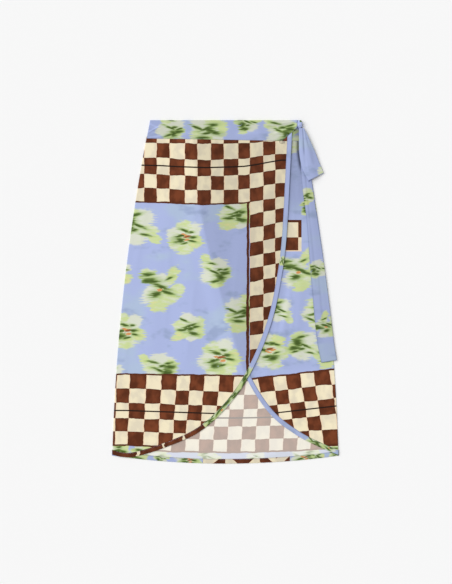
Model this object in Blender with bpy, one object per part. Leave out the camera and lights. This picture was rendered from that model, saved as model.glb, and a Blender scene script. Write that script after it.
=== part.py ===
# Wrap skirt, laid flat on its back panel with the waist towards +Y.
# Metres, +Z up. The skirt rests on z = 0, and the origin is the middle of its footprint.
#
# The layers, from the surface up: the back panel with its right side down, the under-wrap,
# the over-wrap, and the tie. Each cut piece is its own closed wall. Its underside is a sheet
# that rests on what lies below it, and its thickness goes up from there.

import math

import bmesh
import bpy
import numpy as np
from mathutils import Vector

for old in list(bpy.data.objects):
    bpy.data.objects.remove(old, do_unlink=True)

# Driving sizes
LENGTH = 0.800            # top of the waistband to the lowest point of the hem
WAIST_HALF = 0.1768       # half the flat width at the top of the waistband
SIDE_LENGTH = 0.773       # height over which the sides spread
SIDE_SPREAD = 0.1534      # how fast a side spreads at the waist
SIDE_BEND = 0.0660        # how much of that spread its curve takes back at the hem
HEM_RISE = 0.0187         # how far the hem rises from its middle to the side seams
BAND_HEIGHT = 0.0458      # waistband, at the middle of the skirt
BAND_TILT = 0.0186        # the waist seam drops this much for each metre to the right
BAND_END_START = 0.1325   # where the over-wrap's waistband starts to narrow towards the knot
BAND_END = 0.1668         # where it goes into the knot
BAND_END_HEIGHT = 0.0178
BINDING_WIDTH = 0.0107

# Cloth
CLOTH = 0.0010            # a panel's wall
TRIM = 0.0016             # waistbands and bindings, which are folded double
STRAP = 0.0012            # the tie
GAP = 0.0003              # between pieces
INSET = (TRIM - CLOTH) / 2    # a panel's edge meets the middle of its trim

# How the layers follow each other
LEVEL_RUN = 0.014         # a layer keeps its height this far past an edge below it
STEP_RUN = 0.030          # and takes this long to come down
FOLDS_CLEAR = 0.015       # the under-wrap's folds keep this far from the over-wrap's edge
SIDE_TURN = 0.0015        # how far a front wall reaches out as it turns down at a side seam
SIDE_TURN_FOOT = 0.0004   # how near the surface the turned edge comes
SIDE_TURN_STEPS = ((0.72, 0.16), (1.0, 0.52), (1.0, 1.0))    # shares of its reach and drop

# Finished edges of the two front panels, from the waist seam to the side corner of the hem
OVER_EDGE = (
    # x, y
    (0.1552, 0.3640),
    (0.1508, 0.2780),
    (0.1425, 0.1280),
    (0.1309, 0.0347),
    (0.1094, -0.0655),
    (0.0705, -0.1657),
    (0.0190, -0.2506),
    (-0.0558, -0.3228),
    (-0.1421, -0.3629),
    (-0.2104, -0.3835),
    (-0.2400, -0.3845),
    (-0.2637, -0.3790),
)
UNDER_EDGE = (
    (-0.0757, 0.3990),
    (-0.0690, 0.2800),
    (-0.0521, 0.1559),
    (-0.0288, 0.0600),
    (-0.0008, -0.0422),
    (0.0272, -0.1354),
    (0.0528, -0.2077),
    (0.1041, -0.2846),
    (0.1647, -0.3329),
    (0.2230, -0.3629),
    (0.2634, -0.3795),
)

# Soft folds, each a ridge from its head to its foot
OVER_FOLDS = (
    # head x, head y, foot x, foot y, half width, height
    (-0.118, 0.300, -0.196, -0.300, 0.030, 0.0016),
    (-0.066, 0.240, -0.105, -0.270, 0.034, 0.0022),
    (-0.010, 0.310, -0.030, -0.060, 0.026, 0.0013),
    (0.048, 0.250, 0.040, -0.150, 0.030, 0.0018),
    (0.100, 0.330, 0.104, 0.080, 0.020, 0.0011),
)
UNDER_FOLDS = (
    (0.120, 0.020, 0.094, -0.215, 0.014, 0.0020),
    (0.150, 0.120, 0.128, -0.205, 0.015, 0.0024),
    (0.176, 0.060, 0.160, -0.190, 0.014, 0.0018),
)

# The tie: a half bow at the right end of the waistband
KNOT_AT = (0.1731, 0.3906)
KNOT_HALF = (0.0059, 0.0090)
KNOT_FOOT = 0.0038
KNOT_HEIGHT = 0.0066
KNOT_SQUARENESS = 0.7     # 1 is an ellipsoid, and less is squarer
LOOP_EDGES = (
    # left x, left y, right x, right y, from the knot to the fold at its end
    (0.1716, 0.3812, 0.1826, 0.3812),
    (0.1713, 0.3541, 0.1950, 0.3564),
    (0.1720, 0.3238, 0.2078, 0.3284),
    (0.1786, 0.2880, 0.2202, 0.2966),
    (0.1921, 0.2592, 0.2283, 0.2779),
)
LOOP_FLOOR = 0.0054       # underside of its lower layer, on the skirt
LOOP_OPENING = 0.0010     # between its two layers
LOOP_REST = 0.0008        # underside of its lower layer, past the side of the skirt
LOOP_DROP_RUN = 0.030     # how far past the side it takes to come down
LOOP_ARCH = 0.0022        # how far the middle of its upper layer stands up
TAIL_EDGES = (
    # left x, left y, right x, right y, from the knot to the cut end
    (0.1722, 0.3812, 0.1816, 0.3812),
    (0.1752, 0.3050, 0.1946, 0.3050),
    (0.1791, 0.2445, 0.2024, 0.2480),
    (0.1890, 0.1700, 0.2140, 0.1700),
    (0.1962, 0.0744, 0.2284, 0.0744),
    (0.2040, -0.0200, 0.2406, -0.0170),
    (0.2136, -0.1145, 0.2521, -0.1110),
    (0.2235, -0.1648, 0.2596, -0.1590),
)
TAIL_ARCH = 0.0013        # how far the tail's middle stands up below the loop

# Colours, linear
PERIWINKLE = (0.40, 0.46, 0.78)
REVERSE = (0.80, 0.78, 0.80)
CHECK_BROWN = (0.13, 0.03, 0.01)

# How finely each piece is divided
PANEL_ROWS = 30
OVER_COLUMNS = 19
UNDER_COLUMNS = 17
CORNER_STEPS = 2
BACK_COLUMNS = 16
BACK_ROWS = 14
BAND_COLUMNS = 20
BAND_ROWS = 3
HEM_SECTIONS = 32
STRAP_COLUMNS = 5
LOOP_ROWS = 9
TAIL_ROWS = 22
FOLD_STEPS = 5
KNOT_AROUND = 14
KNOT_RINGS = 8
CORNER_RUN = 0.022        # how much of a bound edge a front panel's lowest row follows
EDGE_SAMPLES = 240


# ---- Outline ----

def smooth_step(value):
    value = min(max(value, 0.0), 1.0)
    return value * value * (3.0 - 2.0 * value)


def side_half(y):
    """Half the width of the skirt at this height."""
    down = (LENGTH / 2 - y) / SIDE_LENGTH
    return WAIST_HALF + SIDE_SPREAD * down - SIDE_BEND * down * down


HEM_HALF = side_half(HEM_RISE - LENGTH / 2)


def hem_y(x):
    return HEM_RISE * (x / HEM_HALF) ** 2 - LENGTH / 2


def seam_y(x):
    """The waist seam."""
    return LENGTH / 2 - BAND_HEIGHT - BAND_TILT * x


def over_band_low(x):
    """Lower edge of the over-wrap's waistband, which narrows towards the knot."""
    along = min(max((x - BAND_END_START) / (BAND_END - BAND_END_START), 0.0), 1.0)
    start = seam_y(min(x, BAND_END_START))
    return start + (LENGTH / 2 - BAND_END_HEIGHT - start) * along


def across(left_x, right_x, count):
    """Places from left to right, one of them where the over-wrap's waistband starts to narrow."""
    xs = np.linspace(left_x, right_x, count)
    if left_x < BAND_END_START < right_x:
        xs[1 + np.abs(xs[1:-1] - BAND_END_START).argmin()] = BAND_END_START
    return xs


def smooth_curve(points, count):
    """Points at even steps along a smooth curve through these."""
    points = np.array(points, float)
    ends = np.vstack([2 * points[0] - points[1], points, 2 * points[-1] - points[-2]])
    steps = np.linspace(0.0, 1.0, 24, endpoint=False)[:, None]
    stretches = []
    for a, b, c, d in zip(ends, ends[1:], ends[2:], ends[3:]):
        bend = 2 * a - 5 * b + 4 * c - d
        twist = 3 * b - a - 3 * c + d
        stretches.append(b + 0.5 * (steps * (c - a) + steps**2 * bend + steps**3 * twist))
    return even_steps(np.vstack([*stretches, points[-1:]]), count)


def even_steps(line, count):
    lengths = np.linalg.norm(np.diff(line, axis=0), axis=1)
    along = np.concatenate([[0.0], np.cumsum(lengths)])
    wanted = np.linspace(0.0, along[-1], count)
    return np.column_stack([np.interp(wanted, along, part) for part in line.T])


def left_of(line):
    """Unit directions to the left of the way the line runs."""
    ways = np.gradient(line, axis=0)
    ways /= np.linalg.norm(ways, axis=1)[:, None]
    return np.column_stack([-ways[:, 1], ways[:, 0]])


def stations(line, count):
    """Indices along a line, closer together where it bends. Its length and its bends
    weigh the same."""
    ways = np.diff(line, axis=0)
    angles = np.unwrap(np.arctan2(ways[:, 1], ways[:, 0]))
    bends = np.concatenate([[0.0], np.abs(np.diff(angles)), [0.0]])
    lengths = np.concatenate([[0.0], np.linalg.norm(ways, axis=1)])
    weight = np.cumsum(lengths) / lengths.sum() + np.cumsum(bends) / bends.sum()
    return np.searchsorted(weight, np.linspace(0.0, weight[-1] - 1e-9, count))


def side_of(line, x, y):
    """Distance to the line, positive to the left of the way it runs."""
    starts = line[:-1]
    ways = line[1:] - starts
    to_point = np.array([x, y]) - starts
    along = (to_point * ways).sum(1) / (ways * ways).sum(1)
    along = np.clip(along, 0.0, 1.0)
    away = to_point - ways * along[:, None]
    distances = np.linalg.norm(away, axis=1)
    nearest = int(distances.argmin())
    cross = ways[nearest, 0] * to_point[nearest, 1] - ways[nearest, 1] * to_point[nearest, 0]
    return math.copysign(distances[nearest], cross)


over_edge = smooth_curve(OVER_EDGE, EDGE_SAMPLES)
under_edge = smooth_curve(UNDER_EDGE, EDGE_SAMPLES)


# ---- Heights ----

def near(distance):
    """1 close to an edge, falling to 0 away from it."""
    return 1.0 - smooth_step((distance - LEVEL_RUN) / STEP_RUN)


def ridges(folds, x, y):
    height = 0.0
    for head_x, head_y, foot_x, foot_y, half_width, rise in folds:
        way = np.array([foot_x - head_x, foot_y - head_y])
        length = float(np.hypot(*way))
        way /= length
        along = ((x - head_x) * way[0] + (y - head_y) * way[1]) / length
        aside = (x - head_x) * way[1] - (y - head_y) * way[0]
        ends = smooth_step(4.0 * along) * smooth_step(4.0 * (1.0 - along))
        height += rise * ends * math.exp(-((aside / half_width) ** 2))
    return height


def back_top(x, y):
    """Top of the back panel with its waistband and its hem binding."""
    below_waist = near(seam_y(x) - y)
    above_hem = near(y - hem_y(x) - BINDING_WIDTH)
    return CLOTH + (TRIM - CLOTH) * max(below_waist, above_hem)


def under_base(x, y):
    """What the under-wrap's trim rests on, with the folds that show beside the over-wrap."""
    shown = smooth_step((side_of(over_edge, x, y) - FOLDS_CLEAR) / FOLDS_CLEAR)
    return back_top(x, y) + GAP + shown * ridges(UNDER_FOLDS, x, y)


def under_trimmed(x, y):
    """1 where the under-wrap's waistband or binding is near."""
    return max(near(seam_y(x) - y), near(abs(side_of(under_edge, x, y))))


def under_top(x, y):
    return under_base(x, y) + CLOTH + (TRIM - CLOTH) * under_trimmed(x, y)


def over_base(x, y):
    """What the over-wrap's trim rests on: the under-wrap, then down onto the back."""
    outside = -side_of(under_edge, x, y)
    covered = 1.0 - smooth_step((outside - LEVEL_RUN) / STEP_RUN)
    low = back_top(x, y)
    return low + covered * (under_top(x, y) - low) + GAP


def over_trimmed(x, y):
    return max(near(over_band_low(x) - y), near(abs(side_of(over_edge, x, y))))


def under_sheet(x, y):
    return under_base(x, y) + INSET * under_trimmed(x, y)


def over_sheet(x, y):
    return over_base(x, y) + INSET * over_trimmed(x, y) + ridges(OVER_FOLDS, x, y)


# ---- Making walls ----

def material(name, colour, roughness):
    made = bpy.data.materials.new(name)
    made.use_nodes = True
    shader = made.node_tree.nodes["Principled BSDF"]
    shader.inputs["Base Color"].default_value = (*colour, 1.0)
    shader.inputs["Roughness"].default_value = roughness
    shader.inputs["Metallic"].default_value = 0.0
    return made


def add_object(name, mesh_maker, finish):
    mesh = bpy.data.meshes.new(name)
    mesh_maker.to_mesh(mesh)
    mesh_maker.free()
    mesh.shade_smooth()
    mesh.set_sharp_from_angle(angle=math.radians(50))
    mesh.materials.append(finish)
    piece = bpy.data.objects.new(name, mesh)
    bpy.context.scene.collection.objects.link(piece)
    return piece


def cloth_wall(name, points, thickness, finish, side=1.0):
    """A wall over a grid of underside points, rows by columns, with rows going down the
    skirt and columns going right. Its thickness goes up from them, or both ways at side 0."""
    rows, columns = points.shape[:2]
    maker = bmesh.new()
    bmesh.ops.create_grid(maker, x_segments=columns - 1, y_segments=rows - 1, size=1.0)
    for vertex in maker.verts:
        column = round((vertex.co.x + 1.0) / 2.0 * (columns - 1))
        row = round((1.0 - vertex.co.y) / 2.0 * (rows - 1))
        vertex.co = points[row, column]
    piece = add_object(name, maker, finish)
    wall = piece.modifiers.new("Wall", "SOLIDIFY")
    wall.thickness = thickness
    wall.offset = side
    return piece


def patch(top, bottom, left, right):
    """Grid points between four edges: top and bottom run right, left and right run down."""
    along = np.linspace(0.0, 1.0, len(top))[None, :, None]
    down = np.linspace(0.0, 1.0, len(left))[:, None, None]
    between_rows = (1 - down) * top[None] + down * bottom[None]
    between_sides = (1 - along) * left[:, None] + along * right[:, None]
    corners = (1 - down) * ((1 - along) * top[0] + along * top[-1])
    corners = corners + down * ((1 - along) * bottom[0] + along * bottom[-1])
    return between_rows + between_sides - corners


def raised(flat_points, height):
    """Flat grid points with a height function's z."""
    lifted = [[(x, y, height(x, y)) for x, y in row] for row in flat_points]
    return np.array(lifted)


def with_turned_side(points, sign):
    """Adds columns that turn the wall down to the surface at a side seam."""
    edge = points[:, 0 if sign < 0 else -1]
    steps = []
    for out, drop in SIDE_TURN_STEPS:
        column = edge.copy()
        column[:, 0] += sign * out * SIDE_TURN
        column[:, 2] -= drop * (edge[:, 2] - SIDE_TURN_FOOT)
        steps.append(column[:, None])
    if sign < 0:
        return np.hstack([*steps[::-1], points])
    return np.hstack([points, *steps])


def binding(name, outer, inner, base, finish):
    """A folded strip between two lines. Its section has a flat foot and a low crown."""
    maker = bmesh.new()
    rings = []
    middle = (outer + inner) / 2
    section = (
        # line, height as a share of the thickness
        (outer, 0.0),
        (inner, 0.0),
        (inner, 0.86),
        (middle, 1.0),
        (outer, 0.86),
    )
    for index in range(len(outer)):
        floor = base(*middle[index])
        ring = []
        for line, share in section:
            ring.append(maker.verts.new((*line[index], floor + share * TRIM)))
        rings.append(ring)
    for first, second in zip(rings, rings[1:]):
        for corner in range(len(section)):
            following = (corner + 1) % len(section)
            maker.faces.new((first[corner], first[following], second[following], second[corner]))
    maker.faces.new(rings[0])
    maker.faces.new(rings[-1])
    bmesh.ops.recalc_face_normals(maker, faces=maker.faces)
    return add_object(name, maker, finish)


# ---- Back ----

def build_back():
    finish = material("back cloth", REVERSE, 0.8)
    inset = CLOTH + 2 * GAP
    shares = np.linspace(-1.0, 1.0, BACK_COLUMNS + 1)
    points = np.zeros((BACK_ROWS + 1, BACK_COLUMNS + 1, 3))
    for column, share in enumerate(shares):
        top = seam_y(share * WAIST_HALF) - GAP
        bottom = hem_y(share * HEM_HALF) + BINDING_WIDTH + GAP
        for row, y in enumerate(np.linspace(top, bottom, BACK_ROWS + 1)):
            points[row, column] = (share * (side_half(y) - inset), y, 0.0)
    cloth_wall("back_panel", points, CLOTH, finish)

    finish = material("back waistband cloth", PERIWINKLE, 0.7)
    inset = TRIM + 2 * GAP
    points = np.zeros((BAND_ROWS, BAND_COLUMNS + 1, 3))
    for column, share in enumerate(np.linspace(-1.0, 1.0, BAND_COLUMNS + 1)):
        for row, y in enumerate(np.linspace(LENGTH / 2, seam_y(share * WAIST_HALF), BAND_ROWS)):
            points[row, column] = (share * (side_half(y) - inset), y, 0.0)
    cloth_wall("back_waistband", points, TRIM, finish)

    finish = material("hem binding cloth", PERIWINKLE, 0.7)
    xs = np.linspace(-HEM_HALF, HEM_HALF, HEM_SECTIONS + 1)
    outer = np.array([(x, hem_y(x)) for x in xs])
    inner = np.array([(x, hem_y(x) + BINDING_WIDTH) for x in xs])
    for line in (outer, inner):
        for end in (0, -1):
            line[end, 0] = math.copysign(side_half(line[end, 1]), line[end, 0])
    binding("back_hem_binding", outer, inner, lambda x, y: 0.0, finish)


# ---- Front panels ----

def bound_edge(edge, sign, top_low):
    """A front panel's finished edge below its waistband, as points and the directions into
    the panel, with the share of its length that each point has passed. Its last points,
    which the panel's lowest row follows, come after the first PANEL_ROWS + 1."""
    inward = sign * left_of(edge)
    inner = edge + inward * BINDING_WIDTH
    start = sum(1 for (x, y), (end_x, end_y) in zip(inner, edge)
                if y > top_low(x) - GAP or end_y > top_low(end_x) - GAP)
    edge, inward, inner = edge[start:].copy(), inward[start:], inner[start:]
    edge[0, 1] = top_low(edge[0, 0]) - GAP     # its start lies along the waistband
    inner[0, 1] = top_low(inner[0, 0]) - GAP
    inward[0] = (inner[0] - edge[0]) / BINDING_WIDTH
    split = int((np.linalg.norm(edge - edge[-1], axis=1) > CORNER_RUN).sum())
    chosen = stations(edge[: split + 1], PANEL_ROWS + 1)
    passed = np.concatenate([[0.0], np.cumsum(np.linalg.norm(np.diff(edge, axis=0), axis=1))])
    corner = np.linspace(split, len(edge) - 1, CORNER_STEPS + 1).astype(int)[1:]
    inward[-1] = (0.0, 1.0 / inward[-1, 1])    # and its end along the side seam
    every = np.concatenate([chosen, corner])
    return edge[every], inward[every], passed[chosen] / passed[split]


def front_panel(name, edge, sign, columns, top_low, height, finish):
    """A front panel between its bound edge and its side seam, which is on the side of sign."""
    points, inward, shares = bound_edge(edge, sign, top_low)
    inner = points + inward * (BINDING_WIDTH + GAP)
    bound, corner = inner[: PANEL_ROWS + 1], inner[PANEL_ROWS:]
    inset = SIDE_TURN + CLOTH
    side_x = sign * (side_half(corner[-1, 1]) - inset)
    at_side = np.interp(sign * side_x, sign * corner[:, 0], corner[:, 1])
    corner = corner[sign * corner[:, 0] < sign * side_x - GAP]
    corner = even_steps(np.vstack([corner, (side_x, max(at_side, inner[-1, 1]))]), columns + 1)
    start_y = top_low(sign * side_half(LENGTH / 2 - BAND_HEIGHT)) - GAP
    ys = start_y + shares * (corner[-1, 1] - start_y)
    side = np.array([(sign * (side_half(y) - inset), y) for y in ys])
    corner[-1] = side[-1]
    if sign > 0:
        edges = (bound, side)
    else:
        edges = (side, bound)
        corner = corner[::-1]
    xs = across(edges[0][0, 0], edges[1][0, 0], columns + 1)
    top = np.array([(x, top_low(x) - GAP) for x in xs])
    bound[0] = top[0 if sign > 0 else -1]
    flat = patch(top, corner, *edges)
    cloth_wall(name, with_turned_side(raised(flat, height), sign), CLOTH, finish)


def waistband(name, left_x, right_x, turned_sign, low, base, finish):
    """A folded band along the waist, turned down at the side seam on the side of turned_sign."""
    flat = np.zeros((BAND_ROWS, BAND_COLUMNS + 1, 2))
    for column, x in enumerate(across(left_x, right_x, BAND_COLUMNS + 1)):
        for row, down in enumerate(np.linspace(0.0, 1.0, BAND_ROWS)):
            y = LENGTH / 2 + down * (low(x) - LENGTH / 2)
            spread = side_half(y) - side_half(LENGTH / 2)
            towards_side = (right_x - x if turned_sign < 0 else x - left_x) / (right_x - left_x)
            flat[row, column] = (x + turned_sign * spread * towards_side**3, y)
    cloth_wall(name, with_turned_side(raised(flat, base), turned_sign), TRIM, finish)


def front_binding(name, edge, sign, top_low, base, finish):
    """The binding on a front panel's edge, from the waistband to the side corner."""
    points, inward, _ = bound_edge(edge, sign, top_low)
    binding(name, points, points + inward * BINDING_WIDTH, base, finish)


def build_under_wrap():
    finish = material("under-wrap cloth", PERIWINKLE, 0.7)
    front_panel("under_wrap_panel", under_edge, 1, UNDER_COLUMNS, seam_y, under_sheet, finish)
    finish = material("under-wrap waistband cloth", PERIWINKLE, 0.7)
    side_x = WAIST_HALF - SIDE_TURN - TRIM
    waistband("under_wrap_waistband", UNDER_EDGE[0][0], side_x, 1, seam_y, under_base, finish)
    finish = material("under-wrap binding cloth", PERIWINKLE, 0.7)
    front_binding("under_wrap_binding", under_edge, 1, seam_y, under_base, finish)


def build_over_wrap():
    finish = material("over-wrap cloth", CHECK_BROWN, 0.7)
    front_panel("over_wrap_panel", over_edge, -1, OVER_COLUMNS, over_band_low, over_sheet, finish)
    finish = material("over-wrap waistband cloth", PERIWINKLE, 0.7)
    side_x = SIDE_TURN + TRIM - WAIST_HALF
    waistband("over_wrap_waistband", side_x, BAND_END, -1, over_band_low, over_base, finish)
    finish = material("over-wrap binding cloth", PERIWINKLE, 0.7)
    front_binding("over_wrap_binding", over_edge, -1, over_band_low, over_base, finish)


# ---- Tie ----

def strap_edges(table, count):
    """Points at even steps along both edges of a strap."""
    left = smooth_curve([row[:2] for row in table], count)
    right = smooth_curve([row[2:] for row in table], count)
    return left, right


def build_knot(finish):
    maker = bmesh.new()
    bmesh.ops.create_uvsphere(maker, u_segments=KNOT_AROUND, v_segments=KNOT_RINGS, radius=1.0)
    half = Vector((*KNOT_HALF, KNOT_HEIGHT / 2))
    middle = Vector((*KNOT_AT, KNOT_FOOT + KNOT_HEIGHT / 2))
    for vertex in maker.verts:
        squared = [math.copysign(abs(part) ** KNOT_SQUARENESS, part) for part in vertex.co]
        vertex.co = middle + Vector(a * b for a, b in zip(squared, half))
    return add_object("tie_knot", maker, finish)


def build_loop(finish):
    """The strap goes down from the knot, turns under and comes back up."""
    left, right = strap_edges(LOOP_EDGES, LOOP_ROWS)
    layer_gap = STRAP + LOOP_OPENING

    def floor(x, y):
        past_side = smooth_step((x - side_half(y)) / LOOP_DROP_RUN)
        return LOOP_FLOOR + past_side * (LOOP_REST - LOOP_FLOOR) + STRAP / 2

    fold_way = (left[-1] + right[-1] - left[-2] - right[-2]) / 2
    fold_way /= np.linalg.norm(fold_way)

    def row_at(index, out, rise, arch):
        row = []
        for share in np.linspace(0.0, 1.0, STRAP_COLUMNS):
            x, y = left[index] + share * (right[index] - left[index]) + out * fold_way
            row.append((x, y, floor(x, y) + rise + arch * math.sin(math.pi * share)))
        return row

    rows = []
    for index in range(LOOP_ROWS):
        arch = LOOP_ARCH * math.sin(math.pi * index / (LOOP_ROWS - 1))
        rows.append(row_at(index, 0.0, layer_gap, arch))
    for step in range(1, FOLD_STEPS):
        turn = math.pi * step / FOLD_STEPS
        out = layer_gap / 2 * math.sin(turn)
        rows.append(row_at(LOOP_ROWS - 1, out, layer_gap / 2 * (1 + math.cos(turn)), 0.0))
    for index in reversed(range(LOOP_ROWS)):
        rows.append(row_at(index, 0.0, 0.0, 0.0))
    cloth_wall("tie_loop", np.array(rows), STRAP, finish, side=0.0)


def build_tail(finish):
    left, right = strap_edges(TAIL_EDGES, TAIL_ROWS)
    points = np.zeros((TAIL_ROWS, STRAP_COLUMNS, 3))
    for row in range(TAIL_ROWS):
        share_down = row / (TAIL_ROWS - 1)
        arch = TAIL_ARCH * smooth_step(3.0 * share_down) * (1.0 - 0.6 * share_down)
        for column, share in enumerate(np.linspace(0.0, 1.0, STRAP_COLUMNS)):
            x, y = left[row] + share * (right[row] - left[row])
            floor = under_top(min(x, side_half(y) - SIDE_TURN - CLOTH), y) + GAP
            points[row, column] = (x, y, floor + arch * math.sin(math.pi * share))
    cloth_wall("tie_tail", points, STRAP, finish)


def build_tie():
    finish = material("tie cloth", PERIWINKLE, 0.7)
    build_knot(finish)
    build_loop(finish)
    build_tail(finish)


build_back()
build_under_wrap()
build_over_wrap()
build_tie()
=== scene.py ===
# Wrap skirt laid flat: printed cloth shells, folded bands and a half-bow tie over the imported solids.
import math

import bmesh
import bpy
import numpy as np
from mathutils import Matrix, Vector


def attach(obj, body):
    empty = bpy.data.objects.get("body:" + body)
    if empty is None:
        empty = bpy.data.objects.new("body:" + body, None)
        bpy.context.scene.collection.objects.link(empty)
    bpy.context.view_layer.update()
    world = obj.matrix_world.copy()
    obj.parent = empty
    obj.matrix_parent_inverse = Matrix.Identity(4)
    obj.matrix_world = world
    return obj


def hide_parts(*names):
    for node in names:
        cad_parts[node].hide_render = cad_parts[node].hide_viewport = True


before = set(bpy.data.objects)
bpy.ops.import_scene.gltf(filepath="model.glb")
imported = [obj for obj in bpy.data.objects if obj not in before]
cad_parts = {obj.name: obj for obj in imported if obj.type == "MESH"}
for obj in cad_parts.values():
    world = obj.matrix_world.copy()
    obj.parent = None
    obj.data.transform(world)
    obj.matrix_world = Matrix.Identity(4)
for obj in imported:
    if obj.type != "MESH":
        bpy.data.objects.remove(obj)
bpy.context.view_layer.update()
print("frame loaded")


def mm(*places):  # places or sizes written in millimetres, in metres
    return np.array(places) / 1000


# Sizes and outline of the skirt, as the solids have them

skirt = {
    "length": 0.800,
    "waistHalf": 0.1768,
    "sideLength": 0.773,
    "sideSpread": 0.1534,
    "sideBend": 0.0660,
    "hemRise": 0.0187,
    "bandHeight": 0.0458,
    "bandTilt": 0.0186,
    "bandEndStart": 0.1325,
    "bandEnd": 0.1668,
    "bandEndHeight": 0.0178,
    "bindingWidth": 0.0107,
    "solidWall": 0.0010,  # the panels' solids
    "solidTrim": 0.0016,  # the bands' and bindings' solids
    "gap": 0.0003,
    "cloth": 0.0005,  # the shell drawn here
    "levelRun": 0.014,
    "stepRun": 0.030,
    "foldsClear": 0.015,
    "sideTurn": 0.0015,
    "sideTurnFoot": 0.0004,
    "tuck": 0.0040,  # how far a panel's edge goes into its band or binding
    "turnLeast": 0.25,  # how far out an upper layer's side still goes where it lies lowest
    "cornerRun": 0.022,
    "foldFades": 4.0,  # a fold rises over a quarter of its length at each end
    "curveSteps": 24,
    "edgeSamples": 480,
    "coarseSamples": 120,
}
top = skirt["length"] / 2
wall, trim, gap, tuck = (skirt[key] for key in ("solidWall", "solidTrim", "gap", "tuck"))
thicker = trim - wall
bound = skirt["bindingWidth"]

overEdgePoints = mm(
    (155.2, 364), (150.8, 278), (142.5, 128), (130.9, 34.7), (109.4, -65.5), (70.5, -165.7), (19, -250.6),
    (-55.8, -322.8), (-142.1, -362.9), (-210.4, -383.5), (-240, -384.5), (-263.7, -379),
)
underEdgePoints = mm(
    (-75.7, 399), (-69, 280), (-52.1, 155.9), (-28.8, 60), (-0.8, -42.2), (27.2, -135.4), (52.8, -207.7),
    (104.1, -284.6), (164.7, -332.9), (223, -362.9), (263.4, -379.5),
)
overFolds = mm(  # head x, head y, foot x, foot y, half width, height
    (-118, 300, -196, -300, 30, 1.6),
    (-66, 240, -105, -270, 34, 2.2),
    (-10, 310, -30, -60, 26, 1.3),
    (48, 250, 40, -150, 30, 1.8),
    (100, 330, 104, 80, 20, 1.1),
)
underFolds = mm((120, 20, 94, -215, 14, 2.0), (150, 120, 128, -205, 15, 2.4), (176, 60, 160, -190, 14, 1.8))
overCreases = mm(  # softer and finer than the folds, so the solids leave them out
    (-150, 338, -162, 190, 5.0, 0.40), (-96, 346, -88, 236, 3.6, 0.30), (-178, 250, -214, 20, 7.2, 0.46),
    (-128, 140, -142, -110, 6.4, 0.40), (-48, 330, -52, 120, 5.8, 0.36), (-70, 40, -92, -170, 5.2, 0.42),
    (14, 340, 26, 205, 4.4, 0.34), (30, 120, 12, -120, 6.0, 0.38), (82, 300, 88, 140, 4.0, 0.32),
    (124, 320, 116, 180, 3.4, 0.36), (-226, -60, -246, -300, 6.6, 0.44),
    (-176, -160, -190, -350, 5.6, 0.36), (-110, -210, -104, -330, 4.8, 0.32),
)
underCreases = mm(
    (104, -20, 84, -190, 4.4, 0.60), (134, 80, 112, -160, 5.0, 0.70), (164, 20, 146, -180, 4.0, 0.50),
    (172, 330, 168, 200, 4.2, 0.60), (158, 260, 162, 110, 3.6, 0.44), (208, -100, 218, -300, 6.4, 0.50),
    (170, -210, 186, -330, 5.0, 0.40), (238, -180, 250, -350, 4.6, 0.40),
)
backCreases = mm(
    (-60, 300, -90, 60, 7.0, 0.30), (80, 260, 96, -40, 6.0, 0.26), (-160, 140, -190, -120, 6.6, 0.30),
    (10, 60, 4, -200, 8.0, 0.26), (170, 60, 196, -180, 5.6, 0.28), (-30, -255, -44, -370, 6.0, 0.34),
    (34, -270, 52, -372, 5.0, 0.30), (96, -310, 118, -374, 4.4, 0.26),
)


def smoothStep(value):
    value = np.clip(value, 0.0, 1.0)
    return value * value * (3.0 - 2.0 * value)


def sideHalf(y):  # half the width of the skirt at this height
    down = (top - y) / skirt["sideLength"]
    return skirt["waistHalf"] + skirt["sideSpread"] * down - skirt["sideBend"] * down * down


hemHalf = float(sideHalf(skirt["hemRise"] - top))


def hemY(x):
    return skirt["hemRise"] * (x / hemHalf) ** 2 - top


def seamY(x):
    return top - skirt["bandHeight"] - skirt["bandTilt"] * x


def overBandLow(x):  # lower edge of the over-wrap's waistband, which narrows towards the knot
    along = np.clip((x - skirt["bandEndStart"]) / (skirt["bandEnd"] - skirt["bandEndStart"]), 0.0, 1.0)
    start = seamY(np.minimum(x, skirt["bandEndStart"]))
    return start + (top - skirt["bandEndHeight"] - start) * along


def lengthsAlong(line):
    return np.concatenate([[0.0], np.cumsum(np.linalg.norm(np.diff(line, axis=0), axis=1))])


def evenSteps(line, count):
    along = lengthsAlong(line)
    wanted = np.linspace(0.0, along[-1], count)
    return np.column_stack([np.interp(wanted, along, part) for part in line.T])


def smoothCurve(points, count):
    ends = np.vstack([2 * points[0] - points[1], points, 2 * points[-1] - points[-2]])
    steps = np.linspace(0.0, 1.0, skirt["curveSteps"], endpoint=False)[:, None]
    stretches = []
    for a, b, c, d in zip(ends, ends[1:], ends[2:], ends[3:]):
        bend = 2 * a - 5 * b + 4 * c - d
        twist = 3 * b - a - 3 * c + d
        stretches.append(b + 0.5 * (steps * (c - a) + steps**2 * bend + steps**3 * twist))
    return evenSteps(np.vstack([*stretches, points[-1:]]), count)


def leftOf(line):
    ways = np.gradient(line, axis=0)
    ways /= np.linalg.norm(ways, axis=1)[:, None]
    return np.column_stack([-ways[:, 1], ways[:, 0]])


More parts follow.
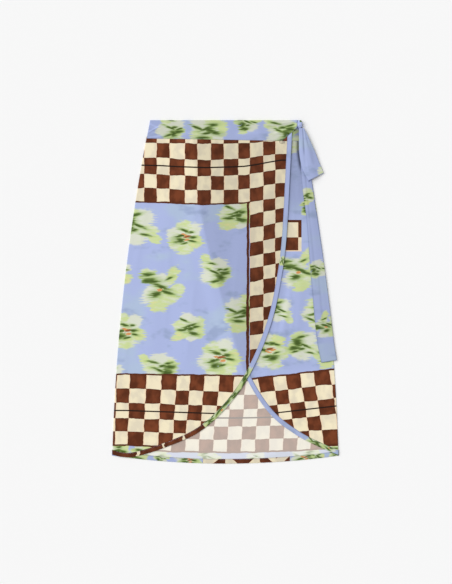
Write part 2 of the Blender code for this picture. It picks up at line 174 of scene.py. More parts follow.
def sideOf(line, x, y):  # distance to the line, positive to the left of the way it runs
    x, y = np.broadcast_arrays(np.asarray(x, float), np.asarray(y, float))
    spots = np.column_stack([x.ravel(), y.ravel()])
    starts, ways = line[:-1], np.diff(line, axis=0)
    toSpot = spots[:, None] - starts[None]
    along = np.clip((toSpot * ways).sum(2) / (ways * ways).sum(1), 0.0, 1.0)
    distances = np.linalg.norm(toSpot - ways * along[..., None], axis=2)
    nearest = distances.argmin(1)
    rows = np.arange(len(spots))
    cross = ways[nearest, 0] * toSpot[rows, nearest, 1] - ways[nearest, 1] * toSpot[rows, nearest, 0]
    return np.copysign(distances[rows, nearest], cross).reshape(x.shape)


overEdge = smoothCurve(overEdgePoints, skirt["edgeSamples"])
underEdge = smoothCurve(underEdgePoints, skirt["edgeSamples"])
coarseOver = evenSteps(overEdge, skirt["coarseSamples"])  # near enough to measure distances from
coarseUnder = evenSteps(underEdge, skirt["coarseSamples"])


# Heights of the layers

def near(distance):
    return 1.0 - smoothStep((distance - skirt["levelRun"]) / skirt["stepRun"])


def ridges(folds, x, y):
    height = np.zeros(np.broadcast(x, y).shape)
    for headX, headY, footX, footY, halfWidth, rise in folds:
        way = np.array([footX - headX, footY - headY])
        length = float(np.hypot(*way))
        way /= length
        along = ((x - headX) * way[0] + (y - headY) * way[1]) / length
        aside = (x - headX) * way[1] - (y - headY) * way[0]
        ends = smoothStep(skirt["foldFades"] * along) * smoothStep(skirt["foldFades"] * (1.0 - along))
        height = height + rise * ends * np.exp(-((aside / halfWidth) ** 2))
    return height


def backTop(x, y):
    belowWaist = near(seamY(x) - y)
    aboveHem = near(y - hemY(x) - bound)
    return wall + thicker * np.maximum(belowWaist, aboveHem)


def underBase(x, y):
    shown = smoothStep((sideOf(coarseOver, x, y) - skirt["foldsClear"]) / skirt["foldsClear"])
    return backTop(x, y) + gap + shown * ridges(underFolds, x, y)


def underTrimmed(x, y):
    return np.maximum(near(seamY(x) - y), near(abs(sideOf(coarseUnder, x, y))))


def underTop(x, y):
    return underBase(x, y) + wall + thicker * underTrimmed(x, y)


def overBase(x, y):
    low = backTop(x, y)
    return low + near(-sideOf(coarseUnder, x, y)) * (underTop(x, y) - low) + gap


def overTrimmed(x, y):
    return np.maximum(near(overBandLow(x) - y), near(abs(sideOf(coarseOver, x, y))))


def middleOf(base, trimmed, creases, x, y):  # middle of a front panel's wall
    middle = base(x, y) + thicker / 2 * trimmed(x, y) + wall / 2
    return middle + ridges(creases, x, y) * (1.0 - trimmed(x, y))


def underMiddle(x, y):
    return middleOf(underBase, underTrimmed, underCreases, x, y)


def overMiddle(x, y):
    return middleOf(overBase, overTrimmed, overCreases, x, y) + ridges(overFolds, x, y)


# Dyes and node helpers

def dye(red, green, blue):  # a colour as it is seen, 0 to 255, made linear
    shares = [part / 255 for part in (red, green, blue)]
    return tuple(s / 12.92 if s <= 0.04045 else ((s + 0.055) / 1.055) ** 2.4 for s in shares) + (1.0,)


dyes = {name: dye(*seen) for name, seen in {
    "ground": (174, 186, 228),
    "groundGrey": (154, 169, 203),
    "groundGreen": (177, 195, 219),
    "lime": (204, 219, 155),
    "yellow": (220, 218, 158),
    "petal": (219, 223, 206),
    "leafLight": (164, 190, 116),
    "leaf": (112, 136, 70),
    "leafDark": (72, 94, 38),
    "orange": (216, 152, 92),
    "rust": (152, 88, 48),
    "brown": (88, 42, 19),
    "brownWarm": (122, 63, 35),
    "cream": (245, 233, 200),
    "creamGrey": (228, 217, 191),
    "peach": (246, 218, 184),
    "line": (36, 20, 12),
    "white": (249, 247, 246),
    "blueThread": (160, 170, 215),
    "darkThread": (84, 76, 78),
    "floor": (249, 249, 249),
}.items()}


noises = {  # lumps to the metre across and up, shift, detail, roughness
    "checkWash": (42.0, 30.0, 3.0, 3.0, 0.5),
    "groundPale": (8.0, 12.0, 7.3, 3.0, 0.55),
    "groundGrey": (12.0, 21.0, 1.7, 3.0, 0.62),
    "comb": (34.0, 340.0, 0.0, 1.0, 0.5),
    "lumps": (60.0, 85.0, 4.0, 2.0, 0.5),
    "petalTint": (50.0, 150.0, 23.0, 2.0, 0.5),
    "wobble": (44.0, 44.0, 0.5, 2.0, 0.5),
    "slubs": (500.0, 70.0, 0.0, 2.0, 0.5),
}
ramps = {  # 0 below the first value, 1 above the second, smooth between
    "brownWash": (0.36, 0.66),
    "brownRim": (0.34, 0.50),
    "creamWash": (0.40, 0.62),
    "peachRim": (0.40, 0.45),
    "greenGround": (0.50, 0.68),
    "greyGround": (0.53, 0.68),
    "petals": (-0.12, 0.22),
    "petalTint": (-0.34, 0.34),
    "lime": (0.05, 0.75),
    "yellow": (0.70, 1.15),
    "halo": (-1.1, 0.20),
    "darkLeaf": (0.20, 0.75),
    "strokes": (-0.16, 0.40),
}
amounts = {
    "brownRim": 0.6,
    "peachRim": 0.8,
    "greenGround": 0.8,
    "greyGround": 0.9,
    "lumps": 0.75,
    "petalComb": 1.5,
    "strokeComb": 2.0,
    "petalTint": 1.7,
    "halo": 0.70,
    "haloComb": 1.6,
    "slubs": 0.8,
}


def mathWith(operation):
    return lambda *values: calc(operation, *values)


class Value:  # what a node gives, so that sums of nodes are written as sums
    def __init__(self, tree, socket):
        self.tree, self.socket = tree, socket

    __add__ = mathWith("ADD")
    __sub__ = mathWith("SUBTRACT")
    __mul__ = mathWith("MULTIPLY")
    __lt__ = mathWith("LESS_THAN")
    __gt__ = mathWith("GREATER_THAN")
    __abs__ = mathWith("ABSOLUTE")


def setInputs(made, inputs):
    for name, value in inputs.items():
        if isinstance(value, Value):
            value.tree.links.new(value.socket, made.inputs[name])
        else:
            made.inputs[name].default_value = value


def node(tree, kind, inputs, output=0, **settings):
    made = tree.nodes.new("ShaderNode" + kind)
    for name, setting in settings.items():
        setattr(made, name, setting)
    setInputs(made, inputs)
    return Value(tree, made.outputs[output])


def treeOf(*values):
    return next(value.tree for value in values if isinstance(value, Value))


def calc(operation, *values):
    return node(treeOf(*values), "Math", dict(enumerate(values)), operation=operation)


def either(*values):
    largest = values[0]
    for value in values[1:]:
        largest = calc("MAXIMUM", largest, value)
    return largest


def rise(value, ramp):
    inputs = {"Value": value, "From Min": ramps[ramp][0], "From Max": ramps[ramp][1]}
    return node(value.tree, "MapRange", inputs, "Result", interpolation_type="SMOOTHSTEP")


def blend(share, first, second, kind="MIX"):
    tree = treeOf(share, first, second)
    made = tree.nodes.new("ShaderNodeMix")
    made.data_type = "RGBA"
    made.blend_type = kind
    colours = [index for index, socket in enumerate(made.inputs) if socket.type == "RGBA"]
    setInputs(made, {0: share, colours[0]: first, colours[1]: second})
    return Value(tree, next(socket for socket in made.outputs if socket.type == "RGBA"))


def clouds(cloth, noise, output="Fac"):
    across, up, shift, detail, roughness = noises[noise]
    mapping = {"Vector": cloth, "Scale": (across, up, 1.0), "Location": (shift, shift, 0.0)}
    spread = node(cloth.tree, "Mapping", mapping)
    inputs = {"Vector": spread, "Scale": 1.0, "Detail": detail, "Roughness": roughness}
    return node(cloth.tree, "TexNoise", inputs, output)


def parts(vector):
    made = vector.tree.nodes.new("ShaderNodeSeparateXYZ")
    setInputs(made, {0: vector})
    return [Value(vector.tree, socket) for socket in made.outputs]


# The print, laid over each piece's own cut of the cloth

markNames = ("petalA", "petalB", "strokeA", "strokeB")
flowerKinds = {  # each mark: x, y, half width, half height, slope in hundredths, then its tint or its dye
    "open": {
        "petals": (
            (-42, 36, 48, 40, 10, 0.1), (18, 56, 46, 36, 0, 0.5), (60, 18, 40, 42, 10, 0.0),
            (44, -42, 46, 38, -10, 0.8), (-20, -54, 52, 36, 10, 0.5), (-60, -14, 38, 40, 0, 0.4),
            (2, 2, 50, 44, 0, 0.2),
        ),
        "strokes": (
            (-36, -8, 30, 20, 10, 0), (-26, 16, 30, 11, 20, 0), (12, 32, 26, 11, -30, 0),
            (38, -16, 22, 11, 0, 0), (30, -36, 26, 8, -20, 0), (44, 12, 16, 8, 0, 0),
            (-14, -32, 20, 7, 20, 0), (0, 13, 20, 9, -30, 1), (12, -2, 24, 9, 20, 2), (4, -18, 14, 9, 10, 1),
        ),
    },
    "leaning": {
        "petals": (
            (34, 32, 50, 44, 20, 0.0), (50, -24, 44, 34, -10, 0.4), (74, -62, 28, 24, -20, 0.7),
            (-4, -36, 54, 40, 0, 0.0), (-46, 2, 40, 44, 10, 0.5), (-14, 60, 42, 30, 10, 0.6),
            (0, 6, 46, 42, 0, 0.2),
        ),
        "strokes": (
            (-26, 30, 28, 30, 0, 0), (-46, 2, 34, 16, 10, 0), (14, 6, 34, 9, -40, 0), (0, 56, 32, 10, 20, 0),
            (-44, -18, 22, 8, 20, 0), (34, -38, 26, 7, -20, 0), (-10, -10, 20, 9, 10, 0),
        ),
    },
    "streaked": {
        "petals": (
            (-36, 42, 50, 40, 0, 0.0), (26, 48, 50, 42, 0, 0.5), (64, 2, 38, 40, 0, 0.7),
            (8, -8, 60, 40, 10, 0.1), (-52, -16, 46, 40, 0, 0.4), (-18, -58, 60, 32, 20, 0.8),
            (46, -38, 40, 26, 20, 0.0),
        ),
        "strokes": (
            (-54, 24, 34, 9, -40, 0), (-4, 12, 42, 11, 30, 0), (28, 24, 26, 11, 10, 0),
            (-14, -14, 32, 9, 20, 0), (36, -18, 36, 15, -20, 0), (-34, -34, 32, 10, 0, 0),
            (10, 0, 22, 16, 10, 0),
        ),
    },
    "branched": {
        "petals": (
            (-46, 46, 36, 32, 0, 0.4), (0, 22, 46, 36, 0, 0.0), (52, 48, 30, 36, 60, 0.7),
            (-30, -30, 46, 38, 20, 0.0), (34, -34, 50, 32, 0, 0.5), (78, -8, 28, 24, 0, 0.5),
            (-2, -70, 42, 30, 10, 0.7), (2, -10, 40, 36, 0, 0.3),
        ),
        "strokes": (
            (-38, 28, 40, 16, 0, 0), (6, 4, 36, 12, -30, 0), (-16, -28, 24, 17, 20, 0),
            (34, -20, 34, 9, -30, 0), (-46, 54, 28, 11, 10, 0), (2, -10, 13, 8, 0, 1), (40, 38, 20, 7, 40, 0),
        ),
    },
    "petal": {"petals": ((0, 0, 90, 90, 10, 0.3),), "strokes": ()},
    "leaf": {"petals": ((0, 0, 100, 70, 0, 0.6),), "strokes": ((0, 0, 130, 110, 0, 0),)},
}
markWidths = {"petals": (1.07, 1.07), "strokes": (1.04, 0.86)}


def marksOf(flowers, part):  # the petals or the strokes of all these flowers
    marks = [(9.0, 9.0, 0.01, 0.01, 0.0, 0.0)] * 2  # far off, so that there are always two
    wider, taller = markWidths[part]
    spots = [(kind, *spot) for kind, found in flowers.items() for spot in found]
    for kind, x, y, radius, turn in spots:
        x, y, radius = mm(x, y, radius)
        cosine, sine = math.cos(math.radians(turn)), math.sin(math.radians(turn))
        for *hundredths, tint in flowerKinds[kind][part]:
            right, up, width, height, slope = (size / 100 for size in hundredths)
            away = (radius * (right * cosine - up * sine), radius * (right * sine + up * cosine))
            sizes = (radius * width * wider, radius * height * taller)
            marks.append((x + away[0], y + away[1], *sizes, slope, tint))
    return np.array(marks)


printRows = {
    "topBandEnds": 5.0,  # counted in check rows from above the waist seam
    "lowBandStarts": 18.0,
    "lowBandEnds": 23.0,
    "frameHalf": 0.060,  # half of a frame line, in rows
    "fineLineHalf": 0.042,
    "topFineLine": 2.47,
    "lowFineLine": 20.5,
    "sideFrame": 0.15,  # its middle, in columns before the strip
    "sideFrameHalf": 0.10,
    "wobble": 0.17,
}


def checkColours(column, row, cloth):
    brown = calc("MODULO", calc("FLOOR", column) + calc("FLOOR", row) + 100.0, 2.0) > 0.5
    toColumn, toRow = (abs(calc("FRACT", part) - 0.5) for part in (column, row))
    wash = clouds(cloth, "checkWash")
    browns = blend(rise(wash, "brownWash"), dyes["brown"], dyes["brownWarm"])
    rim = rise(either(toColumn, toRow), "brownRim") * amounts["brownRim"]
    browns = blend(rim, browns, dyes["brown"])
    creams = blend(rise(wash, "creamWash"), dyes["cream"], dyes["creamGrey"])
    creams = blend(rise(toColumn, "peachRim") * amounts["peachRim"], creams, dyes["peach"])
    return blend(brown, creams, browns)


def groundColour(cloth):  # periwinkle with faint blurred shadows of more flowers
    pale = rise(clouds(cloth, "groundPale"), "greenGround") * amounts["greenGround"]
    grey = rise(clouds(cloth, "groundGrey"), "greyGround") * amounts["greyGround"]
    return blend(grey, blend(pale, dyes["ground"], dyes["groundGreen"]), dyes["groundGrey"])


def markDepths(marks, comb, lumps, combed):  # the greater depth, the second's lead, and both kinds
    found = []
    for mark in marks:
        x, y, kind = parts(mark)
        x = x + comb * combed + lumps[0] * amounts["lumps"]
        y = y + lumps[1] * amounts["lumps"]
        found.append((calc("SUBTRACT", 1.0, calc("SQRT", x * x + y * y)), kind))
    (first, firstKind), (second, secondKind) = found
    return either(first, second), second - first, firstKind, secondKind


def flowerColour(ground, cloth, marks):  # petals and brush strokes with combed sideways edges
    comb = clouds(cloth, "comb") - 0.5
    lumps = [part - 0.5 for part in parts(clouds(cloth, "lumps", "Color"))[:2]]
    soft = (clouds(cloth, "petalTint") - 0.5) * amounts["petalTint"]
    depth, lead, first, second = markDepths(marks[:2], comb, lumps, amounts["petalComb"])
    mask = rise(depth, "petals")
    tint = rise(lead, "petalTint") * (second - first) + first + soft
    petals = blend(rise(tint, "lime"), dyes["petal"], dyes["lime"])
    petals = blend(rise(tint, "yellow"), petals, dyes["yellow"])
    depth, lead, first, second = markDepths(marks[2:], comb, lumps, amounts["strokeComb"])
    kind = (lead > 0.0) * (second - first) + first
    leaf = kind < 0.5
    halo = rise(depth, "halo") * (comb * amounts["haloComb"] + amounts["halo"])
    petals = blend(halo * leaf, petals, dyes["leafLight"])
    greens = blend(rise(depth, "darkLeaf"), dyes["leaf"], dyes["leafDark"])
    warms = blend(kind > 1.5, dyes["orange"], dyes["rust"])
    petals = blend(rise(depth, "strokes"), petals, blend(leaf, warms, greens))
    return blend(mask, ground, petals)


def buildPrintGroup():  # checked bands and strip with their frame lines, round the flowers
    tree = bpy.data.node_groups.new("skirtPrint", "ShaderNodeTree")
    for name in ("Checks", "Cloth", *markNames):
        tree.interface.new_socket(name, in_out="INPUT", socket_type="NodeSocketVector")
    for name in ("Top Band", "Strip"):
        tree.interface.new_socket(name, in_out="INPUT", socket_type="NodeSocketFloat")
    tree.interface.new_socket("Color", in_out="OUTPUT", socket_type="NodeSocketColor")
    given = {socket.name: Value(tree, socket) for socket in tree.nodes.new("NodeGroupInput").outputs}
    cloth, topBand, strip = given["Cloth"], given["Top Band"], given["Strip"]
    column, straightRow = parts(given["Checks"])[:2]
    hand = parts(clouds(cloth, "wobble", "Color"))
    column = (hand[0] - 0.5) * printRows["wobble"] + column
    row = (hand[1] - 0.5) * printRows["wobble"] + straightRow

    topEnds, lowStarts, lowEnds = (printRows[key] for key in ("topBandEnds", "lowBandStarts", "lowBandEnds"))
    inTop = (row < topEnds) * topBand
    inLow = (row > lowStarts) * (row < lowEnds)
    inStrip = (column > strip) * (row < lowStarts)
    field = flowerColour(groundColour(cloth), cloth, [given[name] for name in markNames])
    colour = blend(either(inTop, inLow, inStrip), field, checkColours(column, row, cloth))

    half = printRows["frameHalf"]
    beforeStrip = column < strip
    topLine = (abs(row - topEnds) < half) * beforeStrip * topBand
    lowLine = either(abs(row - lowStarts) < half, abs(row - lowEnds) < half)
    lowLine = lowLine * either(beforeStrip, row > lowStarts + 1)
    sideLine = abs(column - (strip - printRows["sideFrame"])) < printRows["sideFrameHalf"]
    sideLine = sideLine * (row > topEnds) * (row < lowStarts)
    colour = blend(either(topLine, lowLine, sideLine), colour, dyes["brown"])
    half = printRows["fineLineHalf"]
    topFine = (abs(straightRow - printRows["topFineLine"]) < half) * topBand
    lowFine = abs(straightRow - printRows["lowFineLine"]) < half
    colour = blend(either(topFine, lowFine), colour, dyes["line"])
    setInputs(tree.nodes.new("NodeGroupOutput"), {"Color": colour})
    return tree


weave = {"threads": 1400.0, "uneven": 0.4, "depth": 0.00006, "strength": 0.35}  # threads to the metre
wrongSide = {"fades": 0.6, "towards": (0.975, 0.968, 0.955, 1.0), "gamma": 2.2}
clothLook = {"Roughness": 0.78, "Specular IOR Level": 0.15, "Sheen Weight": 0.06, "Sheen Roughness": 0.5}
threadLook = {"Roughness": 0.6}
threadTwist = {"scale": 900.0, "pales": 0.35, "depth": 0.0001, "strength": 0.4}


def bumpFrom(height, strength, distance):
    return node(height.tree, "Bump", {"Height": height, "Strength": strength, "Distance": distance})


def weaveBump(cloth):  # plain weave, with slubs along it
    scale = weave["threads"] / (4 * math.pi)
    inputs = {"Vector": cloth, "Scale": scale, "Distortion": weave["uneven"], "Detail": 0.0}
    warp, weft = (node(cloth.tree, "TexWave", inputs, "Fac", bands_direction=way) for way in "XY")
    height = warp * weft + clouds(cloth, "slubs") * amounts["slubs"]
    return bumpFrom(height, weave["strength"], weave["depth"])


def turnedOver(colour):  # the cloth's paler wrong side
    seen = node(colour.tree, "Gamma", {"Color": colour, "Gamma": 1 / wrongSide["gamma"]})
    faded = blend(wrongSide["fades"], seen, wrongSide["towards"])
    return node(colour.tree, "Gamma", {"Color": faded, "Gamma": wrongSide["gamma"]})


def newFinish(name):
    made = bpy.data.materials.new(name)
    made.use_nodes = True
    return made, made.node_tree, made.node_tree.nodes["Principled BSDF"]


def clothFinish(name, topBand=0.0, strip=99.0, over=False, patch=None):  # patch adds to the print
    made, tree, shader = newFinish(name)
    cloth, checks = (node(tree, "UVMap", {}, uv_map=uv) for uv in ("cloth", "checks"))
    given = {mark: node(tree, "Attribute", {}, "Vector", attribute_name=mark) for mark in markNames}
    given.update({"Checks": checks, "Cloth": cloth, "Top Band": topBand, "Strip": strip})
    colour = node(tree, "Group", given, "Color", node_tree=printGroup)
    if patch:
        colour = patch(colour, cloth, checks)
    if over:
        colour = turnedOver(colour)
    # painted shade and painted light: the shade attribute, kept on each vertex, multiplies the print, darker
    # in creases, shadows and doubled layers, lighter on crests
    shade = node(tree, "Attribute", {}, "Fac", attribute_name="shade")
    shaded = blend(1.0, colour, shade, "MULTIPLY")
    setInputs(shader, {"Base Color": shaded, "Normal": weaveBump(cloth), **clothLook})
    return made


def threadFinish(name, colour):
    made, tree, shader = newFinish(name)
    place = node(tree, "TexCoord", {}, "Object")
    inputs = {"Vector": place, "Scale": threadTwist["scale"], "Detail": 1.0}
    twist = node(tree, "TexNoise", inputs, "Fac")
    paler = blend(twist * threadTwist["pales"], colour, dyes["white"])
    bump = bumpFrom(twist, threadTwist["strength"], threadTwist["depth"])
    setInputs(shader, {"Base Color": paler, "Normal": bump, **threadLook})
    return made


printGroup = buildPrintGroup()
print("print made")


# Making sheets

fieldChecks = (0.5, 10.0)  # a check column and row amid the flowers, for what is cut without bands


def bell(distance, width):
    return np.exp(-((distance / width) ** 2))


def between(share, first, second):
    return (1 - share) * first + share * second


def countAlong(value, places, first=0.0):  # 0, 1, 2 and so on at these places, and shares of one between
    return np.interp(value, places, first + np.arange(len(places)))


def valuesOf(items, name, width=1, kind=float):
    found = np.zeros(len(items) * width, kind)
    items.foreach_get(name, found)
    return found


def setValues(items, name, values):
    items.foreach_set(name, np.ascontiguousarray(values, np.float32).ravel())


def newPiece(maker, name, *finishes):
    mesh = bpy.data.meshes.new(name)
    maker.to_mesh(mesh)
    maker.free()
    for finish in finishes:
        mesh.materials.append(finish)
    mesh.shade_smooth()
    piece = bpy.data.objects.new(name, mesh)
    bpy.context.scene.collection.objects.link(piece)
    return piece


def join(piece, slot, solid=None, **sheet):
    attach(piece, "root")
    if solid:
        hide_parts(solid)


def measured(places, marks):  # places as seen from a mark, in its own half sizes and along its slope
    away = places - marks[..., :2]
    up = away[..., 1] - marks[..., 4] * away[..., 0]
    return np.stack([away[..., 0] / marks[..., 2], up / marks[..., 3]], axis=-1)


def addPrint(mesh, cloth, checks, shade, flowers):  # what the print reads, with each face's nearest marks, and the painted shade that darkens it
    corners = valuesOf(mesh.loops, "vertex_index", kind=int)
    for name, places in (("cloth", cloth), ("checks", checks)):
        setValues(mesh.uv_layers.new(name=name).uv, "vector", places[corners])
    setValues(mesh.attributes.new("shade", "FLOAT", "POINT").data, "value", shade)
    sizes = valuesOf(mesh.polygons, "loop_total", kind=int)
    faceOf = np.repeat(np.arange(len(sizes)), sizes)
    middles = np.zeros((len(sizes), 2))
    np.add.at(middles, faceOf, cloth[corners])
    middles /= sizes[:, None]
    for part, names in (("petals", markNames[:2]), ("strokes", markNames[2:])):
        marks = marksOf(flowers, part)
        nearest = np.argsort(np.linalg.norm(measured(middles[:, None], marks[None]), axis=2), axis=1)
        for order, name in enumerate(names):
            picked = marks[nearest[:, order][faceOf]]
            values = np.column_stack([measured(cloth[corners], picked), picked[:, 5]])
            setValues(mesh.attributes.new(name, "FLOAT_VECTOR", "CORNER").data, "vector", values)


def makeSheet(name, points, thick, finishes, cloth, flowers, checks=fieldChecks, shade=1.0):
    # A closed shell with its right side at these points. Rows go down the skirt and columns go right.
    rows, columns = points.shape[:2]
    maker = bmesh.new()
    bmesh.ops.create_grid(maker, x_segments=columns - 1, y_segments=rows - 1, size=1.0)
    piece = newPiece(maker, name, *finishes)
    mesh = piece.data
    places = valuesOf(mesh.vertices, "co", 3).reshape(-1, 3)
    column = np.rint((places[:, 0] + 1) / 2 * (columns - 1)).astype(int)
    row = np.rint((1 - places[:, 1]) / 2 * (rows - 1)).astype(int)
    mesh.vertices.foreach_set("co", points[row, column].ravel())
    mesh.update()
    checks = np.broadcast_to(checks, cloth.shape)
    shade = np.broadcast_to(shade, cloth.shape[:2])
    addPrint(mesh, cloth[row, column], checks[row, column], shade[row, column], flowers)
    highest = int(valuesOf(mesh.polygons, "center", 3)[2::3].argmax())
    if mesh.polygons[highest].normal.z < 0:
        mesh.flip_normals()
    shell = piece.modifiers.new("Cloth wall", "SOLIDIFY")
    shell.thickness = thick
    shell.offset = -1.0
    shell.material_offset = len(finishes) - 1
    shell.use_even_offset = False
    return piece


def buildPanel(sizes, flat, points, checks, shade, rests, up="right", topBand=1.0, **printed):
    side, name, solid = sizes["names"]
    finishes = {"right": clothFinish(side + " right side", topBand, **printed),
                "wrong": clothFinish(side + " wrong side", topBand, over=True)}
    seen = [finishes.pop(up), *finishes.values()]
    cloth = points[..., :2].copy()
    piece = makeSheet(name, points, skirt["cloth"], seen, cloth, sizes["flowers"], checks, shade)
    x, y = np.vstack([flat[0], flat[:, -1], flat[-1, ::-1], flat[::-1, 0]]).T
    area = 0.5 * abs(float((x * np.roll(y, -1) - y * np.roll(x, -1)).sum()))
    size = (float(np.ptp(cloth[..., 0])), float(np.ptp(cloth[..., 1])))
    join(piece, "print_cloth", solid, flat=size, held="laid", rests_on=rests, area=area)


sideTurnSteps = ((0.30, 0.03), (0.58, 0.11), (0.80, 0.26), (0.94, 0.46), (1.0, 0.70), (1.0, 1.0))  # out, down


def turned(points, sign, levels=1.0):  # adds columns that turn the sheet down to the surface at a side seam
    edge = points[:, 0 if sign < 0 else -1]
    steps = []
    reach = skirt["turnLeast"] + (1 - skirt["turnLeast"]) * levels
    for out, drop in sideTurnSteps:
        column = edge.copy()
        column[:, 0] += sign * out * skirt["sideTurn"] * reach
        column[:, 2] -= drop * (edge[:, 2] - skirt["sideTurnFoot"]) * levels
        steps.append(column[:, None])
    return np.hstack([*steps[::-1], points] if sign < 0 else [points, *steps])


def foldSections(outside, steps, inside):  # across the right side, round the fold and back inside
    turns = [(0.0, math.cos(math.pi * step / steps)) for step in range(1, steps)]
    outer = [(share, 1.0) for share in np.linspace(1.0, 0.0, outside)]
    inner = [(share, -1.0) for share in np.linspace(0.0, 1.0, inside)]
    shares, levels = np.array(outer + turns + inner).T
    return shares, levels, 1 - np.sqrt(np.maximum(0.0, 1 - levels * levels))


def boundEdge(edge, sign, topLow):  # a front's edge below its waistband, with the ways into the panel
    inward = sign * leftOf(edge)
    inner = edge + inward * bound
    above = [line[:, 1] > topLow(line[:, 0]) - gap for line in (inner, edge)]
    start = int((above[0] | above[1]).sum())
    edge, inward, inner = (line[start:].copy() for line in (edge, inward, inner))
    for line in (edge, inner):
        line[0, 1] = topLow(line[0, 0]) - gap
    inward[0] = (inner[0] - edge[0]) / bound
    inward[-1] = (0.0, 1.0 / inward[-1, 1])
    return edge, inward


def frontPanel(edge, sign, topLow, middle, rows, columns):  # tucked into its binding and its waistband
    edge, inward = boundEdge(edge, sign, topLow)
    split = int((np.linalg.norm(edge - edge[-1], axis=1) > skirt["cornerRun"]).sum())
    chosen = np.linspace(0, split, rows).astype(int)
    passed = lengthsAlong(edge)
    innerLine = edge + inward * (bound - tuck)
    sewn, corner = innerLine[chosen], innerLine[split:]
    sideInset = skirt["sideTurn"] + wall
    sideX = sign * float(sideHalf(corner[-1, 1]) - sideInset)
    atSide = float(np.interp(sign * sideX, sign * corner[:, 0], corner[:, 1]))
    corner = corner[sign * corner[:, 0] < sign * sideX - gap]
    corner = evenSteps(np.vstack([corner, (sideX, max(atSide, innerLine[-1, 1]))]), columns)
    startY = float(topLow(sign * float(sideHalf(top - skirt["bandHeight"])))) + tuck
    ys = startY + passed[chosen] / passed[split] * (corner[-1, 1] - startY)
    side = np.column_stack([sign * (sideHalf(ys) - sideInset), ys])
    corner[-1] = side[-1]
    sewn[0, 1] = topLow(sewn[0, 0]) + tuck
    left, right = (sewn, side)[::sign]
    low = corner[::sign]
    xs = np.linspace(left[0, 0], right[0, 0], columns)
    high = np.column_stack([xs, topLow(xs) + tuck])
    along = np.linspace(0.0, 1.0, columns)[None, :, None]
    down = np.linspace(0.0, 1.0, rows)[:, None, None]
    corners = between(down, between(along, high[0], high[-1]), between(along, low[0], low[-1]))
    flat = between(down, high, low) + between(along, left[:, None], right[:, None]) - corners
    height = middle(flat[..., 0], flat[..., 1]) + skirt["cloth"] / 2
    return flat, turned(np.dstack([flat, height]), sign)


def onSurface(x, y):
    return 0.0 * x


fronts = {"over": (overEdge, -1, overBandLow, overBase), "under": (underEdge, 1, seamY, underBase)}


# Back: its wrong side shows in the opening, and its right side lies on the surface

back = {
    "names": ("back", "backPanel", "back_panel"),
    "rows": 130,
    "columns": 110,
    "foot": 0.0001,
    "upperRows": 0.3820 - 0.0340 * np.arange(18),
    "lowRows": mm(-207.2, -240.8, -273.7, -314, -344.6, -373.7, -406),
    "hemShare": 0.6,  # how much of the hem's curve the rows take
    "columnZero": -0.2896,
    "columnWidth": 0.0326,
    "lean": 0.07,
    "leanFrom": -0.36,
    "flowers": {
        "open": ((-200, 160, 50, 20), (-30, 30, 46, 80), (140, -110, 54, 35), (70, -390, 22, 10)),
        "leaning": ((-90, 130, 45, 60), (90, 20, 50, 15), (-100, -110, 52, 25), (-40, -388, 26, 40)),
        "streaked": ((20, 170, 50, 0), (-150, 30, 50, 45), (200, 40, 46, 50), (240, -130, 40, 5),
                     (-160, -390, 34, 0), (190, -384, 32, 20)),
        "branched": ((130, 140, 52, 30), (-220, -100, 50, 10), (20, -100, 46, 65)),
    },
}


def buildBack():
    edgeInset = wall + 2 * gap
    share = np.linspace(-1.0, 1.0, back["columns"])
    high = seamY(share * skirt["waistHalf"]) + tuck
    low = hemY(share * hemHalf) + bound - tuck
    y = np.linspace(high, low, back["rows"])
    x = share * (sideHalf(y) - edgeInset)
    flat = np.dstack([x, y])
    trimmed = (backTop(x, y) - wall) / thicker
    height = skirt["cloth"] + back["foot"]
    height = height + trimmed * (trim / 2 - skirt["cloth"] / 2 - back["foot"])
    height = height + ridges(backCreases, x, y) * (1.0 - trimmed)
    level = y - back["hemShare"] * (hemY(x) + top)
    row = countAlong(-level, -np.concatenate([back["upperRows"], back["lowRows"]]))
    column = (x + back["lean"] * (back["leanFrom"] - y) - back["columnZero"]) / back["columnWidth"]
    buildPanel(back, flat, np.dstack([flat, height]), np.dstack([column, row]), 1.0, ["back_hem_binding"],
               up="wrong")


# Over-wrap

